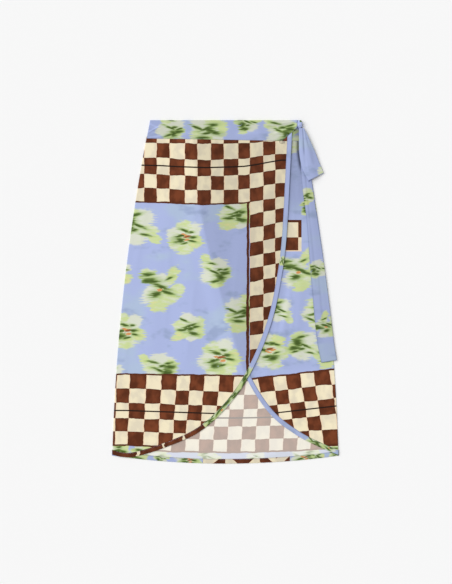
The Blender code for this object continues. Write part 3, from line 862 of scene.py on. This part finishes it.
overWrap = {
    "names": ("over-wrap", "overWrapPanel", "over_wrap_panel"),
    "rows": 170,
    "columns": 96,
    # painted shade where the under-wrap lies beneath: how dark, and over what run
    "overlapShade": 0.82,
    "overlapRun": 0.007,
    "rowPlaces": mm(380, 345.9, 309.8, 271.3, 238.7, 206.1, 179.5, 150.1, 115.4, 84.4, 56.4, 24.5, -8.4,
                    -38.5, -69.2, -100.2, -133.1, -165.7, -191.4, -224.7, -257.8, -294.6, -324.7, -356.9,
                    -390),
    "columnPlaces": mm(-251, -219.9, -188.9, -159.8, -129.7, -94.1, -65.4, -33.5, -3.6, 30.2, 57, 88.5, 116.2,
                       146, 176),
    "lowColumnPlaces": mm(-282.9, -252.6, -222, -183.6, -147.9, -112.2, -81.5, -47.7, -12.9, 20.9, 57, 88.5,
                          116.2, 146, 176),
    "firstColumn": -1.0,
    "columnRows": (5, 18),  # where the columns are as in the first list, and as in the second
    "lifts": (mm(-187.3, -145.3, -110.4, -47.4, 10.8, 43.5, 71.4, 101.7, 129.7),
              mm(3.5, 2.3, 0, -2.3, -0.7, 0.7, 4.7, 10.5, 15.2)),
    "liftFades": (0.6, 0.31, 0.03),  # by what share, from what height and over what run
    "stripFrom": (0.200, 0.035),  # below what height, and over what run, the strip has its own tilt
    "stripTilts": ((-0.18, 0.02, 0.18), (0.208, 0.180, 0.100)),
    "stripHinge": 0.0674,
    "hingeLeast": -0.02,
    "lowFrom": -0.185,
    "lowSags": ((0.190, 0.225), (0.012, 0.034)),
    "sagFrom": -0.234,
    "leans": ((-0.26, -0.06), (0.030, 0.085)),
    "leanFrom": -0.194,
    "stripStarts": 9.0,
    "flowers": {
        "leaning": ((-208, 150, 52, 10), (-20, 48, 42, 170), (-262, -196, 30, 10), (-150, -178, 46, 190)),
        "open": ((-94, 128, 42, 20), (-232, -92, 44, 30), (-14, -156, 48, 50)),
        "streaked": ((26, 180, 42, -20), (-256, 46, 38, 60), (-84, -84, 38, -30), (42, -50, 46, 10),
                     (-252, -372, 30, 30), (-190, -376, 30, 170)),
        "branched": ((-154, 10, 56, 0),),
    },
}


def overChecks(x, y):
    places = overWrap["rowPlaces"]
    fade, fadeFrom, fadeRun = overWrap["liftFades"]
    topLift = np.interp(x, *overWrap["lifts"]) * (1.0 - fade * smoothStep((y - fadeFrom) / fadeRun))
    pastHinge = np.maximum(x - overWrap["stripHinge"], overWrap["hingeLeast"])
    stripLift = np.interp(-y, *overWrap["stripTilts"]) * pastHinge
    lowSag = np.interp(-y, *overWrap["lowSags"]) * np.maximum(x - overWrap["sagFrom"], 0.0)
    stripFrom, stripRun = overWrap["stripFrom"]
    lift = topLift + smoothStep((stripFrom - y) / stripRun) * (stripLift - topLift)
    lift = np.where(y < overWrap["lowFrom"], -lowSag, lift)
    row = countAlong(-(y - lift), -places)
    leaned = x + np.interp(x, *overWrap["leans"]) * np.maximum(overWrap["leanFrom"] - y, 0.0)
    high, low = (places[number] for number in overWrap["columnRows"])
    column = between(np.clip((high - y) / (high - low), 0.0, 1.0),
                     countAlong(x, overWrap["columnPlaces"], overWrap["firstColumn"]),
                     countAlong(leaned, overWrap["lowColumnPlaces"], overWrap["firstColumn"]))
    return np.dstack([column, row])


def buildOverWrap():
    flat, points = frontPanel(*fronts["over"][:3], overMiddle, overWrap["rows"], overWrap["columns"])
    x, y = points[..., 0], points[..., 1]
    # painted shade on the over-wrap where the under-wrap lies beneath it
    overlap = smoothStep(sideOf(coarseUnder, x, y) / overWrap["overlapRun"] + 0.5)
    shade = 1.0 - (1.0 - overWrap["overlapShade"]) * overlap
    buildPanel(overWrap, flat, points, overChecks(x, y), shade, ["underWrapPanel", "backPanel"],
               strip=overWrap["stripStarts"])


# Sizes of the tie

tie = {
    "knotAt": mm(173.1, 390.6),
    "knotHalf": mm(5.9, 9.0),
    "knotFoot": 0.0038,
    "knotHeight": 0.0066,
    "knotSquare": 0.7,  # below 1 for a squarer lump
    "knotSegments": (56, 36),
    "knotGrooves": (  # between the turns of the strap: place, slope, width, depth
        (0.62, 0.30, 0.07, 0.12), (0.18, 0.42, 0.06, 0.16), (-0.12, -0.25, 0.05, 0.10),
        (-0.46, 0.36, 0.07, 0.16), (-0.76, 0.10, 0.05, 0.08),
    ),
    "knotFlowers": {
        "leaf": ((176.8, 398.5, 5, 0),),
    },
    "wall": 0.0008,
    "solidStrap": 0.0012,
    "columns": 44,
    "grooveShade": 150.0,  # painted shade in the grooves: darker with each metre of a groove's depth
    "loopRows": 90,
    "loopLeft": mm((171.6, 381.2), (171.3, 354.1), (172, 323.8), (178.6, 288), (192.1, 259.2)),
    "loopRight": mm((182.6, 381.2), (195, 356.4), (207.8, 328.4), (220.2, 296.6), (228.3, 277.9)),
    "loopFloor": 0.0054,
    "loopOpening": 0.0010,
    "loopRest": 0.0008,
    "loopDropRun": 0.030,
    "loopArch": 0.0022,
    # painted shade on the loop: darker all over, and darker still along its left edge
    "loopShade": 0.84,
    "loopLight": 0.08,  # painted light: its upper layer is lighter
    "loopEdgeShade": 0.75,
    "loopInside": 0.3,  # where in the cloth its lower layer is cut
    "foldSteps": 8,
    "loopCreases": mm(  # gathered at the knot, so deepest there
        (179.6, 394, 184.6, 312, 1.9, 1.3), (176.4, 392, 176.8, 344, 1.2, 0.5),
        (182, 390, 196, 330, 1.6, 0.6), (185, 384, 196, 362, 1.5, 1.0), (179, 360, 188, 290, 3.4, 0.5),
        (196, 346, 208, 290, 4.4, 0.5), (184, 320, 196, 272, 2.4, -0.3),
    ),
    "tailRows": 180,
    "tailLeft": mm((172.2, 381.2), (175.2, 305), (179.1, 244.5), (189, 170), (196.2, 74.4), (204, -20),
                   (213.6, -114.5), (223.5, -164.8)),
    "tailRight": mm((181.6, 381.2), (194.6, 305), (202.4, 248), (214, 170), (228.4, 74.4), (240.6, -17),
                    (252.1, -111), (259.6, -159)),
    "tailArch": 0.0013,
    "tailArchRises": 3.0,  # in the first third
    "tailArchSinks": 0.6,
    # painted shade on the tail: darker all over, and darker along its edges
    "tailShade": 0.83,
    "tailSunk": 0.0002,
    "tailEdgeShades": ((0.0, 0.22), (1.0, 0.10)),  # painted shade along its left and right edge, and how much darker each is
    # how wide the painted shade along the edges is, as a share of the width
    "edgeShadeRun": 0.05,
    "tailCreases": mm((184, 300, 199, 150, 2.2, 0.5), (196, 180, 214, 0, 3.0, 0.5),
                      (213, 80, 233, -120, 3.0, 0.4), (230, 60, 246, -60, 2.4, -0.2)),
    "flowers": {
        "streaked": ((188, 222, 22, 10),),
        "leaning": ((215, 52, 26, 60),),
        "branched": ((232, -80, 32, 50),),
        "petal": ((226.2, 281.5, 11.5, 0),),
    },
}


# Under-wrap

underWrap = {
    "names": ("under-wrap", "underWrapPanel", "under_wrap_panel"),
    "rows": 150,
    "columns": 80,
    "bandPivot": mm(174, -189.7),
    "bandSlope": 0.115,
    "flattens": (0.75, 0.10, 0.07),  # by what share, from what depth and over what run
    "rowDrops": mm(0, 34.7, 67.4, 104, 135.7, 169.5, 202),
    "aboveBand": 0.06,  # this far above the band, the rows are counted up from it
    "aboveRow": 0.034,
    "columnPlaces": mm(-40, -7, 23, 42, 76.1, 111.1, 140.2, 174, 204.8, 242.3, 278),
    "firstColumn": 5.0,
    "lean": 0.15,
    "leanMost": 0.3,
    "patchRows": mm(197, 162, 127, 96.5, 62),
    "belowPatch": (10.0, 0.05),  # the row that starts there, and a row's height
    "patchRight": 0.1698,
    "patchColumn": (11.0, 0.033),
    "patchEdge": 0.1775,
    "patchFrame": 0.0058,
    "patchFoot": (0.0008, 0.0012),  # how far below the patch a pale line's middle is, and half the line
    "shadowBesideOver": ((0.35, 0.0022), (0.08, 0.010)),  # painted shadow beside the over-wrap's edge: how much darker, and how far out
    "shadowByLoop": (0.62, 0.0036, 0.0022),  # painted shadow beside the loop's left edge: the same, and how far left of that edge
    # where the painted shadow by the loop fades out, at its foot and at its head
    "loopShadowEnds": (0.040, 0.004),
    "loopSamples": 60,
    "highShades": ((0.20, 0.14, 0.10), (0.05, -0.19, 0.02)),  # painted shade, darker higher up: how much darker, from what y, over what run
    "flowers": {
        "branched": ((168, 50, 50, 15),),
        "leaning": ((124, -44, 34, 0), (180, -128, 42, 10), (196, 196, 24, 40), (20, 80, 45, 10)),
        "streaked": ((218, -50, 40, 60), (242, -150, 30, 5), (250, -372, 26, 10)),
        "open": ((104, -138, 44, 100), (80, 180, 45, 40)),
        "petal": ((159, 338, 16, 0),),
    },
}


def underChecks(x, y):
    topEnds, lowStarts = printRows["topBandEnds"], printRows["lowBandStarts"]
    pivotX, pivotY = underWrap["bandPivot"]
    depth = pivotY + underWrap["bandSlope"] * (x - pivotX) - y
    share, flatFrom, flatRun = underWrap["flattens"]
    flatten = smoothStep((depth - flatFrom) / flatRun)
    depth = depth - flatten * underWrap["bandSlope"] * share * (x - pivotX)
    patchRows = underWrap["patchRows"]
    belowRow, belowHeight = underWrap["belowPatch"]
    upper = countAlong(-y, -patchRows, topEnds)
    upper = np.where(y < patchRows[-1], belowRow + (patchRows[-1] - y) / belowHeight, upper)
    inBand = depth > -underWrap["aboveBand"]
    row = np.where(inBand, lowStarts + depth / underWrap["aboveRow"], upper)
    row = np.where(depth > 0, countAlong(depth, underWrap["rowDrops"], lowStarts), row)
    lean = underWrap["lean"] * np.clip(depth, 0.0, underWrap["leanMost"])
    column = countAlong(x - lean, underWrap["columnPlaces"], underWrap["firstColumn"])
    patchColumn, patchWidth = underWrap["patchColumn"]
    nearPatch = patchColumn + (x - underWrap["patchRight"]) / patchWidth
    return np.dstack([np.where(inBand, column, nearPatch), row])


def checkPatch(colour, cloth, checks):  # a corner of a checked strip, with its frame line
    x, y = parts(cloth)[:2]
    column, row = parts(checks)[:2]
    high, low = underWrap["patchRows"][1], underWrap["patchRows"][3]
    right = x < underWrap["patchEdge"]
    inside = right * (y < high + underWrap["patchFrame"]) * (y > low)
    colour = blend(inside, colour, checkColours(column, row, cloth))
    colour = blend(inside * (y > high), colour, dyes["brown"])
    footDrop, footHalf = underWrap["patchFoot"]
    return blend(right * (abs(y - (low - footDrop)) < footHalf), colour, dyes["peach"])


def buildUnderWrap():
    flat, points = frontPanel(*fronts["under"][:3], underMiddle, underWrap["rows"], underWrap["columns"])
    x, y = points[..., 0], points[..., 1]
    # painted shadows beside the over-wrap's edge and beside the loop's left edge, and painted shade darker
    # higher up
    beside = np.maximum(sideOf(coarseOver, x, y), 0.0)
    shade = 1.0 - sum(amount * bell(beside, reach) for amount, reach in underWrap["shadowBesideOver"])
    loopSide = smoothCurve(tie["loopLeft"], underWrap["loopSamples"])
    footRun, headRun = underWrap["loopShadowEnds"]
    alongLoop = smoothStep((y - loopSide[-1, 1]) / footRun) * smoothStep((loopSide[0, 1] - y) / headRun)
    amount, reach, left = underWrap["shadowByLoop"]
    shade -= amount * alongLoop * bell(sideOf(loopSide, x, y) + left, reach)
    for amount, start, run in underWrap["highShades"]:
        shade -= amount * smoothStep((y - start) / run)
    buildPanel(underWrap, flat, points, underChecks(x, y), shade, ["backPanel"], topBand=0.0,
               patch=checkPatch)


# Folded waistbands

bands = {
    "wall": 0.00040,
    # painted shade over the whole band
    "shade": 0.86,
    "shadowUnderEnd": 0.42,  # painted shadow, darker under the over-wrap's end
    "underEndFrom": ((0.150, 0.018), (0.345, 0.020)),  # where that painted shadow starts: from what x and y, and over what run
    "columns": (120, 340),  # hidden bands, then the one on top
    "rows": (10, 40),
    "foldRows": 6,
    "clothTurn": 0.004,  # how much cloth goes round a side
    "crestLight": 130.0,  # painted light and shade on the creases: lighter with each metre that a crease stands up, darker where it sinks
    "flowers": {
        "leaning": ((-124, 382, 36, 150), (50, 392, 30, 60), (132, 378, 42, 185)),
        "streaked": ((-40, 376, 44, 10),),
        "petal": ((166, 355, 10, 0),),
    },
    "creases": mm(  # pinched where the band turns at its left end, gathered at the knot
        (-184, 395, -146, 377, 1.9, 1.2), (-184, 369, -148, 389, 1.7, 1.1), (-186, 382, -152, 371, 2.2, -0.7),
        (-184, 359, -134, 364, 2.4, 0.9), (-146, 399, -112, 364, 3.8, 0.6), (106, 366, 182, 392, 2.4, 1.2),
        (128, 379, 182, 395, 1.8, 1.0), (124, 393, 180, 398, 1.6, 0.8), (94, 383, 154, 390, 3.8, -0.5),
        (-60, 377, 20, 380, 7.0, 0.6), (18, 366, 90, 371, 5.0, 0.5), (-112, 371, -44, 366, 4.6, 0.5),
    ),
}


def foldedBand(name, leftX, rightX, sign, low, base, finish, creases):  # folded along the waist's top edge
    half = (trim - bands["wall"]) / 2
    fine = 1 if len(creases) else 0
    sections = foldSections(bands["rows"][fine], bands["foldRows"], bands["rows"][0])
    downs, levels, bulge = (part[:, None] for part in sections)
    xs = np.linspace(leftX, rightX, bands["columns"][fine])
    y = top - half * bulge + downs * (low(xs) - top + half)
    towards = (rightX - xs if sign < 0 else xs - leftX) / (rightX - leftX)
    x = xs + sign * (sideHalf(y) - sideHalf(top)) * towards**3
    height = base(x, y) + trim / 2 + half * levels + ridges(creases, x, y) * (levels > 0)
    points = np.dstack([x, y, height])
    cloth = np.dstack([x, np.where(levels >= 0, y, 2 * top - y)])
    if sign:
        points = turned(points, sign, 0.5 + 0.5 * levels[:, 0])
        extra = np.linspace(0.0, bands["clothTurn"], len(sideTurnSteps) + 1)[1:]
        edge = cloth[:, 0 if sign < 0 else -1]
        more = np.stack([edge + (sign * add, 0.0) for add in extra], axis=1)
        cloth = np.hstack([more[:, ::-1], cloth] if sign < 0 else [cloth, more])
    points, cloth = points[::-1], cloth[::-1]
    # painted shade over the band, painted light on its crease crests, and a painted shadow under the
    # over-wrap's end on the bands beneath it
    shade = bands["shade"] + bands["crestLight"] * ridges(creases, points[..., 0], points[..., 1])
    if not fine:
        ends = 1.0
        for axis, (start, run) in enumerate(bands["underEndFrom"]):
            ends = ends * smoothStep((points[..., axis] - start) / run)
        shade = shade - bands["shadowUnderEnd"] * ends
    return makeSheet(name, points, bands["wall"], [finish], cloth, bands["flowers"], shade=shade)


def buildBands():
    finish = clothFinish("waistband cloth")
    sideX = skirt["waistHalf"] - skirt["sideTurn"] - trim
    backX = float(sideHalf(top)) - trim - 2 * gap
    underX, overX = float(underEdgePoints[0, 0]), skirt["bandEnd"]
    for name, solid, left, right, sign, low, base, creases, rests in (
        ("backWaistband", "back_waistband", -backX, backX, 0, seamY, onSurface, (), ["backPanel"]),
        ("underWrapWaistband", "under_wrap_waistband", underX, sideX, 1, seamY, underBase, (),
         ["backWaistband"]),
        ("overWrapWaistband", "over_wrap_waistband", -sideX, overX, -1, overBandLow, overBase,
         bands["creases"], ["underWrapWaistband", "backWaistband"]),
    ):
        piece = foldedBand(name, left, right, sign, low, base, finish, creases)
        join(piece, "waistband_cloth", solid, flat=(right - left, 2 * skirt["bandHeight"]), held="laid",
             rests_on=rests)


# Bindings

bindings = {
    "wall": 0.00035,
    "across": 7,
    "foldSteps": 6,
    "crown": 0.00012,
    "dip": 0.00012,  # where the stitching pulls it down
    "dipFrom": 0.72,
    "underneath": 0.1,  # how far past the fold its hidden layer is cut
    # painted shade: the whole binding darker, and its sewn edge darker still
    "shade": 0.90,
    "edgeShades": (0.66, 0.90),
    "checkRow": 20.9,  # where a binding is cut from the checks
}
overBinding = {
    "names": ("overWrapBinding", "over_wrap_binding"),
    "rows": 260,
    "flowers": {
        "streaked": ((300, 4, 12, 0), (590, 4, 32, 10), (636, 4, 30, 160), (722, 4, 22, 0)),
        "branched": ((682, 6, 34, 30),),
    },
    "brownStarts": 0.738,
    "joints": mm(728, 796.5, 799, 847.5, 849.7, 909, 913, 1200),  # slivers of cream between brown checks
    "jointSlant": 0.25,
}
underBinding = {
    "names": ("underWrapBinding", "under_wrap_binding"),
    "rows": 240,
    "flowers": {
        "streaked": ((800, 4, 26, 10),),
        "branched": ((832, 4, 24, 160),),
    },
}
hemBinding = {
    "names": ("backHemBinding", "back_hem_binding"),
    "rows": 200,
    "flowers": {
        "streaked": ((-214, 4, 34, 10), (214, 4, 16, 0), (258, 4, 16, 0)),
        "leaning": ((-150, 4, 18, 60),),
        "open": ((-85, 6, 32, 20), (184, 4, 30, 40)),
    },
    "checksFrom": -0.052,
    "checksTo": 0.152,
    "checkLength": 0.0275,
    "firstCheck": 40.0,
    "slant": 1.1,
    "slantTurns": 80.0,
}


def brownCells(cloth):  # the over-wrap binding's last stretch is cut from brown checks
    along = cloth[..., 0]
    numbers = countAlong(along + overBinding["jointSlant"] * cloth[..., 1], overBinding["joints"], 1.0)
    return along > overBinding["brownStarts"], numbers


def slantedCells(cloth):  # the hem binding's middle is cut across the checks
    along = cloth[..., 0]
    slanted = along + hemBinding["slant"] * cloth[..., 1] * np.sign(np.sin(along * hemBinding["slantTurns"]))
    inside = (along > hemBinding["checksFrom"]) & (along < hemBinding["checksTo"])
    return inside, slanted / hemBinding["checkLength"] + hemBinding["firstCheck"]


def foldedBinding(chart, outer, inner, along, base, finish, cells=None):  # folded over an edge
    name, solid = chart["names"]
    half = (trim - bindings["wall"]) / 2
    shares, levels, bulge = foldSections(bindings["across"], bindings["foldSteps"], bindings["across"])
    rounding = (half / np.linalg.norm(inner - outer, axis=1))[:, None]
    flat = outer[:, None] + (inner - outer)[:, None] * (rounding * bulge + shares * (1 - rounding))[..., None]
    floor = base(*((outer + inner) / 2).T) + trim / 2
    crown = bindings["crown"] * np.sin(np.pi * shares)
    dip = bindings["dip"] * smoothStep((shares - bindings["dipFrom"]) / (1 - bindings["dipFrom"]))
    points = np.dstack([flat, floor[:, None] + half * levels + (crown - dip) * (levels > 0)])
    around = np.where(levels > 0, shares, -shares - bindings["underneath"]) * bound
    cloth = np.dstack(np.broadcast_arrays(along[:, None], around[None]))
    checks = fieldChecks
    if cells:
        inside, numbers = cells(cloth)
        checks = np.where(inside[..., None], np.dstack([numbers, numbers * 0 + bindings["checkRow"]]), checks)
    # painted shade across the binding, darkest at its sewn edge
    shade = np.full(len(levels), bindings["shade"])
    shade[:2] *= bindings["edgeShades"]
    piece = makeSheet(name, points, bindings["wall"], [finish], cloth, chart["flowers"], checks, shade)
    length = float(along[-1] - along[0])
    join(piece, "binding_cloth", solid, flat=(length, 2 * bound), held="folded", rests_on=["backPanel"])


def buildBindings():
    finish = clothFinish("binding cloth")
    for side, chart, cells in (("under", underBinding, None), ("over", overBinding, brownCells)):
        edge, sign, topLow, base = fronts[side]
        edge, inward = boundEdge(edge, sign, topLow)
        every = np.linspace(0, len(edge) - 1, chart["rows"]).astype(int)
        outer = edge[every]
        inner = outer + inward[every] * bound
        foldedBinding(chart, outer, inner, lengthsAlong(outer), base, finish, cells)
    xs = np.linspace(-hemHalf, hemHalf, hemBinding["rows"])
    outer = np.column_stack([xs, hemY(xs)])
    inner = np.column_stack([xs, hemY(xs) + bound])
    for line in (outer, inner):
        for end in (0, -1):
            line[end, 0] = math.copysign(float(sideHalf(line[end, 1])), line[end, 0])
    foldedBinding(hemBinding, outer, inner, xs, onSurface, finish, slantedCells)


# Tie

def strap(left, right, rows):  # places over a strap between its two edges, and its mean width and its length
    left, right = smoothCurve(left, rows), smoothCurve(right, rows)
    shares = np.linspace(0.0, 1.0, tie["columns"])
    flat = left[:, None] + shares[None, :, None] * (right - left)[:, None]
    width = float(np.linalg.norm(right - left, axis=1).mean())
    return flat, shares, width, float(lengthsAlong((left + right) / 2)[-1])


def buildLoop(finish):
    flat, shares, width, length = strap(tie["loopLeft"], tie["loopRight"], tie["loopRows"])
    last = tie["loopRows"] - 1
    up, levels, bulge = foldSections(last + 1, tie["foldSteps"], last + 1)
    half = (tie["solidStrap"] + tie["loopOpening"]) / 2
    foldWay = flat[-1, 0] + flat[-1, -1] - flat[-3, 0] - flat[-3, -1]
    foldWay /= np.linalg.norm(foldWay)
    out = half * (1 - bulge)[:, None, None] * foldWay
    flat = flat[np.rint(last * (1 - up)).astype(int)] + out
    x, y = flat[..., 0], flat[..., 1]
    pastSide = smoothStep((x - sideHalf(y)) / tie["loopDropRun"])
    floor = tie["loopFloor"] + pastSide * (tie["loopRest"] - tie["loopFloor"]) + tie["solidStrap"] / 2
    grooves = ridges(tie["loopCreases"], x, y)
    arch = tie["loopArch"] * np.sin(np.pi * up)[:, None] * np.sin(np.pi * shares)
    height = floor + half * (1 + levels)[:, None] + (levels == 1)[:, None] * (arch - grooves)
    cloth = flat.copy()
    cloth[last + 1:, :, 1] -= tie["loopInside"]
    # painted shade: the loop darker all over, its upper layer lighter, darker in its grooves and along its
    # left edge
    shade = np.full(x.shape, tie["loopShade"])
    shade[:last] += tie["loopLight"] - tie["grooveShade"] * grooves[:last]
    shade[:last, 0] *= tie["loopEdgeShade"]
    piece = makeSheet("tieLoop", np.dstack([flat, height]), tie["wall"], [finish], cloth, tie["flowers"],
                      shade=shade)
    piece.modifiers["Cloth wall"].offset = 0.0
    join(piece, "tie_cloth", "tie_loop", flat=(width, 2 * length), held="folded",
         rests_on=["tieTail", "underWrapPanel"])


def buildTail(finish):
    flat, shares, width, length = strap(tie["tailLeft"], tie["tailRight"], tie["tailRows"])
    x, y = flat[..., 0], flat[..., 1]
    down = np.linspace(0.0, 1.0, tie["tailRows"])[:, None]
    arch = tie["tailArch"] * smoothStep(tie["tailArchRises"] * down) * (1.0 - tie["tailArchSinks"] * down)
    within = np.minimum(x, sideHalf(y) - skirt["sideTurn"] - wall)
    floor = underTop(within, y) + gap + tie["solidStrap"] - tie["tailSunk"]
    grooves = ridges(tie["tailCreases"], x, y)
    points = np.dstack([flat, floor + arch * np.sin(np.pi * shares) - grooves])
    # painted shade: the tail darker all over, in its grooves and along its edges
    shade = tie["tailShade"] - tie["grooveShade"] * grooves
    for edge, darker in tie["tailEdgeShades"]:
        shade -= darker * bell(shares - edge, tie["edgeShadeRun"])
    piece = makeSheet("tieTail", points, tie["wall"], [finish], flat, tie["flowers"], shade=shade)
    join(piece, "tie_cloth", "tie_tail", flat=(width, length), held="laid", rests_on=["underWrapPanel"])


def buildKnot(finish):  # the strap wound round itself: a lump with slanted grooves between its turns
    maker = bmesh.new()
    around, up = tie["knotSegments"]
    bmesh.ops.create_uvsphere(maker, u_segments=around, v_segments=up, radius=1.0)
    piece = newPiece(maker, "tieKnot", finish)
    ball = valuesOf(piece.data.vertices, "co", 3).reshape(-1, 3)
    size = np.ones(len(ball))
    for place, slope, width, depth in tie["knotGrooves"]:
        size -= depth * bell(ball[:, 1] - slope * ball[:, 0] - place, width)
    half = np.array([*tie["knotHalf"], tie["knotHeight"] / 2])
    middle = np.array([*tie["knotAt"], tie["knotFoot"] + half[2]])
    places = middle + np.copysign(abs(ball) ** tie["knotSquare"], ball) * half * size[:, None]
    piece.data.vertices.foreach_set("co", places.ravel())
    piece.data.update()
    checks = np.broadcast_to(fieldChecks, (len(places), 2))
    addPrint(piece.data, places[:, :2], checks, np.ones(len(places)), tie["knotFlowers"])
    join(piece, "tie_cloth", "tie_knot")


def buildTie():
    finish = clothFinish("tie cloth")
    buildKnot(finish)
    buildTail(finish)
    buildLoop(finish)


# Stitching

stitching = {
    "length": 0.0024,
    "pitch": 0.0034,
    "radius": 0.00018,
    "sunk": 0.0001,
    "segments": (6, 4),
    "fromEdge": 0.0015,  # how far inside a band's or binding's sewn edge
    "bareEnds": slice(4, -3),
    "samples": (120, 160),  # along the hem and the waist
    "hemHalf": 0.255,
    "waistStarts": -0.172,
    "waistShort": 0.002,
    "loops": (  # x, y, radius, then where it starts and how far it turns, in degrees
        (0.1308, 0.3500, 0.0044, 30, 320), (0.1345, 0.3484, 0.0030, -60, 280),
    ),
    "loopThread": 0.00036,
    "loopSegments": (8, 28),
}


def turnedTo(way, place):
    return Matrix.Translation(place) @ way.to_track_quat("Z", "Y").to_matrix().to_4x4()


def buildStitching():
    finish = threadFinish("blue thread", dyes["blueThread"])
    trimTop = trim - stitching["sunk"]
    fromEdge = bound - stitching["fromEdge"]
    rows = {}
    for name, front in (("overWrapStitching", "over"), ("underWrapStitching", "under")):
        edge, sign, topLow, base = fronts[front]
        edge, inward = boundEdge(edge, sign, topLow)
        line = (edge + inward * fromEdge)[stitching["bareEnds"]]
        rows[name] = (line, base(*line.T))
    hemSamples, waistSamples = stitching["samples"]
    xs = np.linspace(-stitching["hemHalf"], stitching["hemHalf"], hemSamples)
    rows["hemStitching"] = (np.column_stack([xs, hemY(xs) + fromEdge]), onSurface(xs, xs))
    xs = np.linspace(stitching["waistStarts"], skirt["bandEnd"] - stitching["waistShort"], waistSamples)
    line = np.column_stack([xs, overBandLow(xs) + stitching["fromEdge"]])
    rows["waistStitching"] = (line, overBase(*line.T) + ridges(bands["creases"], *line.T))
    size = Matrix.Diagonal((stitching["radius"], stitching["radius"], stitching["length"] / 2, 1.0))
    around, up = stitching["segments"]
    for name, (line, heights) in rows.items():
        maker = bmesh.new()
        count = max(2, int(lengthsAlong(line)[-1] / stitching["pitch"]))
        path = evenSteps(np.column_stack([line, heights + trimTop]), count + 1)
        for start, end in zip(path, path[1:]):
            place = turnedTo(Vector(end - start), (Vector(start) + Vector(end)) / 2) @ size
            bmesh.ops.create_uvsphere(maker, u_segments=around, v_segments=up, radius=1.0, matrix=place)
        join(newPiece(maker, name, finish), "binding_cloth")


def buildThreadLoops():  # two small loops of thread hanging from the waistband's seam
    maker = bmesh.new()
    thread = stitching["loopThread"]
    around, along = stitching["loopSegments"]
    for x, y, radius, start, turn in stitching["loops"]:
        middle = Vector((x, y, float(overBase(x, y)) + trim + thread))
        way = Vector((math.cos(math.radians(start)), math.sin(math.radians(start)), 0.0))
        facing = turnedTo(Vector((-way.y, way.x, 0.0)), middle + way * radius)
        made = bmesh.ops.create_circle(maker, cap_ends=True, segments=around, radius=thread, matrix=facing)
        ring = made["verts"]
        faces = {face for vertex in ring for face in vertex.link_faces}
        edges = {edge for face in faces for edge in face.edges}
        bmesh.ops.spin(maker, geom=[*faces, *edges, *ring], cent=middle, axis=(0.0, 0.0, 1.0),
                       angle=math.radians(turn), steps=along, use_duplicate=False)
    bmesh.ops.recalc_face_normals(maker, faces=maker.faces)
    join(newPiece(maker, "threadLoops", threadFinish("dark thread", dyes["darkThread"])), "binding_cloth")


buildBack()
buildUnderWrap()
buildOverWrap()
print("panels made")
buildBands()
buildBindings()
print("bands and bindings made")
buildTie()
print("tie made")
buildStitching()
buildThreadLoops()
print("stitching made")


# Floor, light and camera

studio = {
    "floorSize": 30.0,
    "floorDrop": 0.0002,
    "world": 0.42,
    "sun": 2.37,
    "sunAngle": 60.0,
    "sunFrom": (-0.80, 0.48, 1.06),
    "lens": 100.0,
    "cameraAt": (0.0015, -0.0002, 3.7814),
}


def buildStudio():
    scene = bpy.context.scene
    finish, tree, shader = newFinish("pale floor")
    setInputs(shader, {"Base Color": dyes["floor"], "Roughness": 0.9, "Specular IOR Level": 0.1})
    maker = bmesh.new()
    bmesh.ops.create_grid(maker, x_segments=1, y_segments=1, size=studio["floorSize"] / 2)
    floor = newPiece(maker, "floor", finish)
    floor.location.z = -studio["floorDrop"]
    scene.world = bpy.data.worlds.new("studio")
    scene.world.use_nodes = True
    background = scene.world.node_tree.nodes["Background"]
    setInputs(background, {"Color": (1.0, 1.0, 1.0, 1.0), "Strength": studio["world"]})
    sun = bpy.data.objects.new("key light", bpy.data.lights.new("key light", "SUN"))
    sun.data.energy = studio["sun"]
    sun.data.angle = math.radians(studio["sunAngle"])
    sun.rotation_euler = Vector(studio["sunFrom"]).to_track_quat("Z", "Y").to_euler()
    camera = bpy.data.objects.new("camera", bpy.data.cameras.new("camera"))
    camera.data.lens = studio["lens"]
    camera.location = studio["cameraAt"]
    for made in (sun, camera):
        scene.collection.objects.link(made)
    scene.camera = camera
    scene.view_settings.view_transform = "Standard"


buildStudio()
print("studio made")
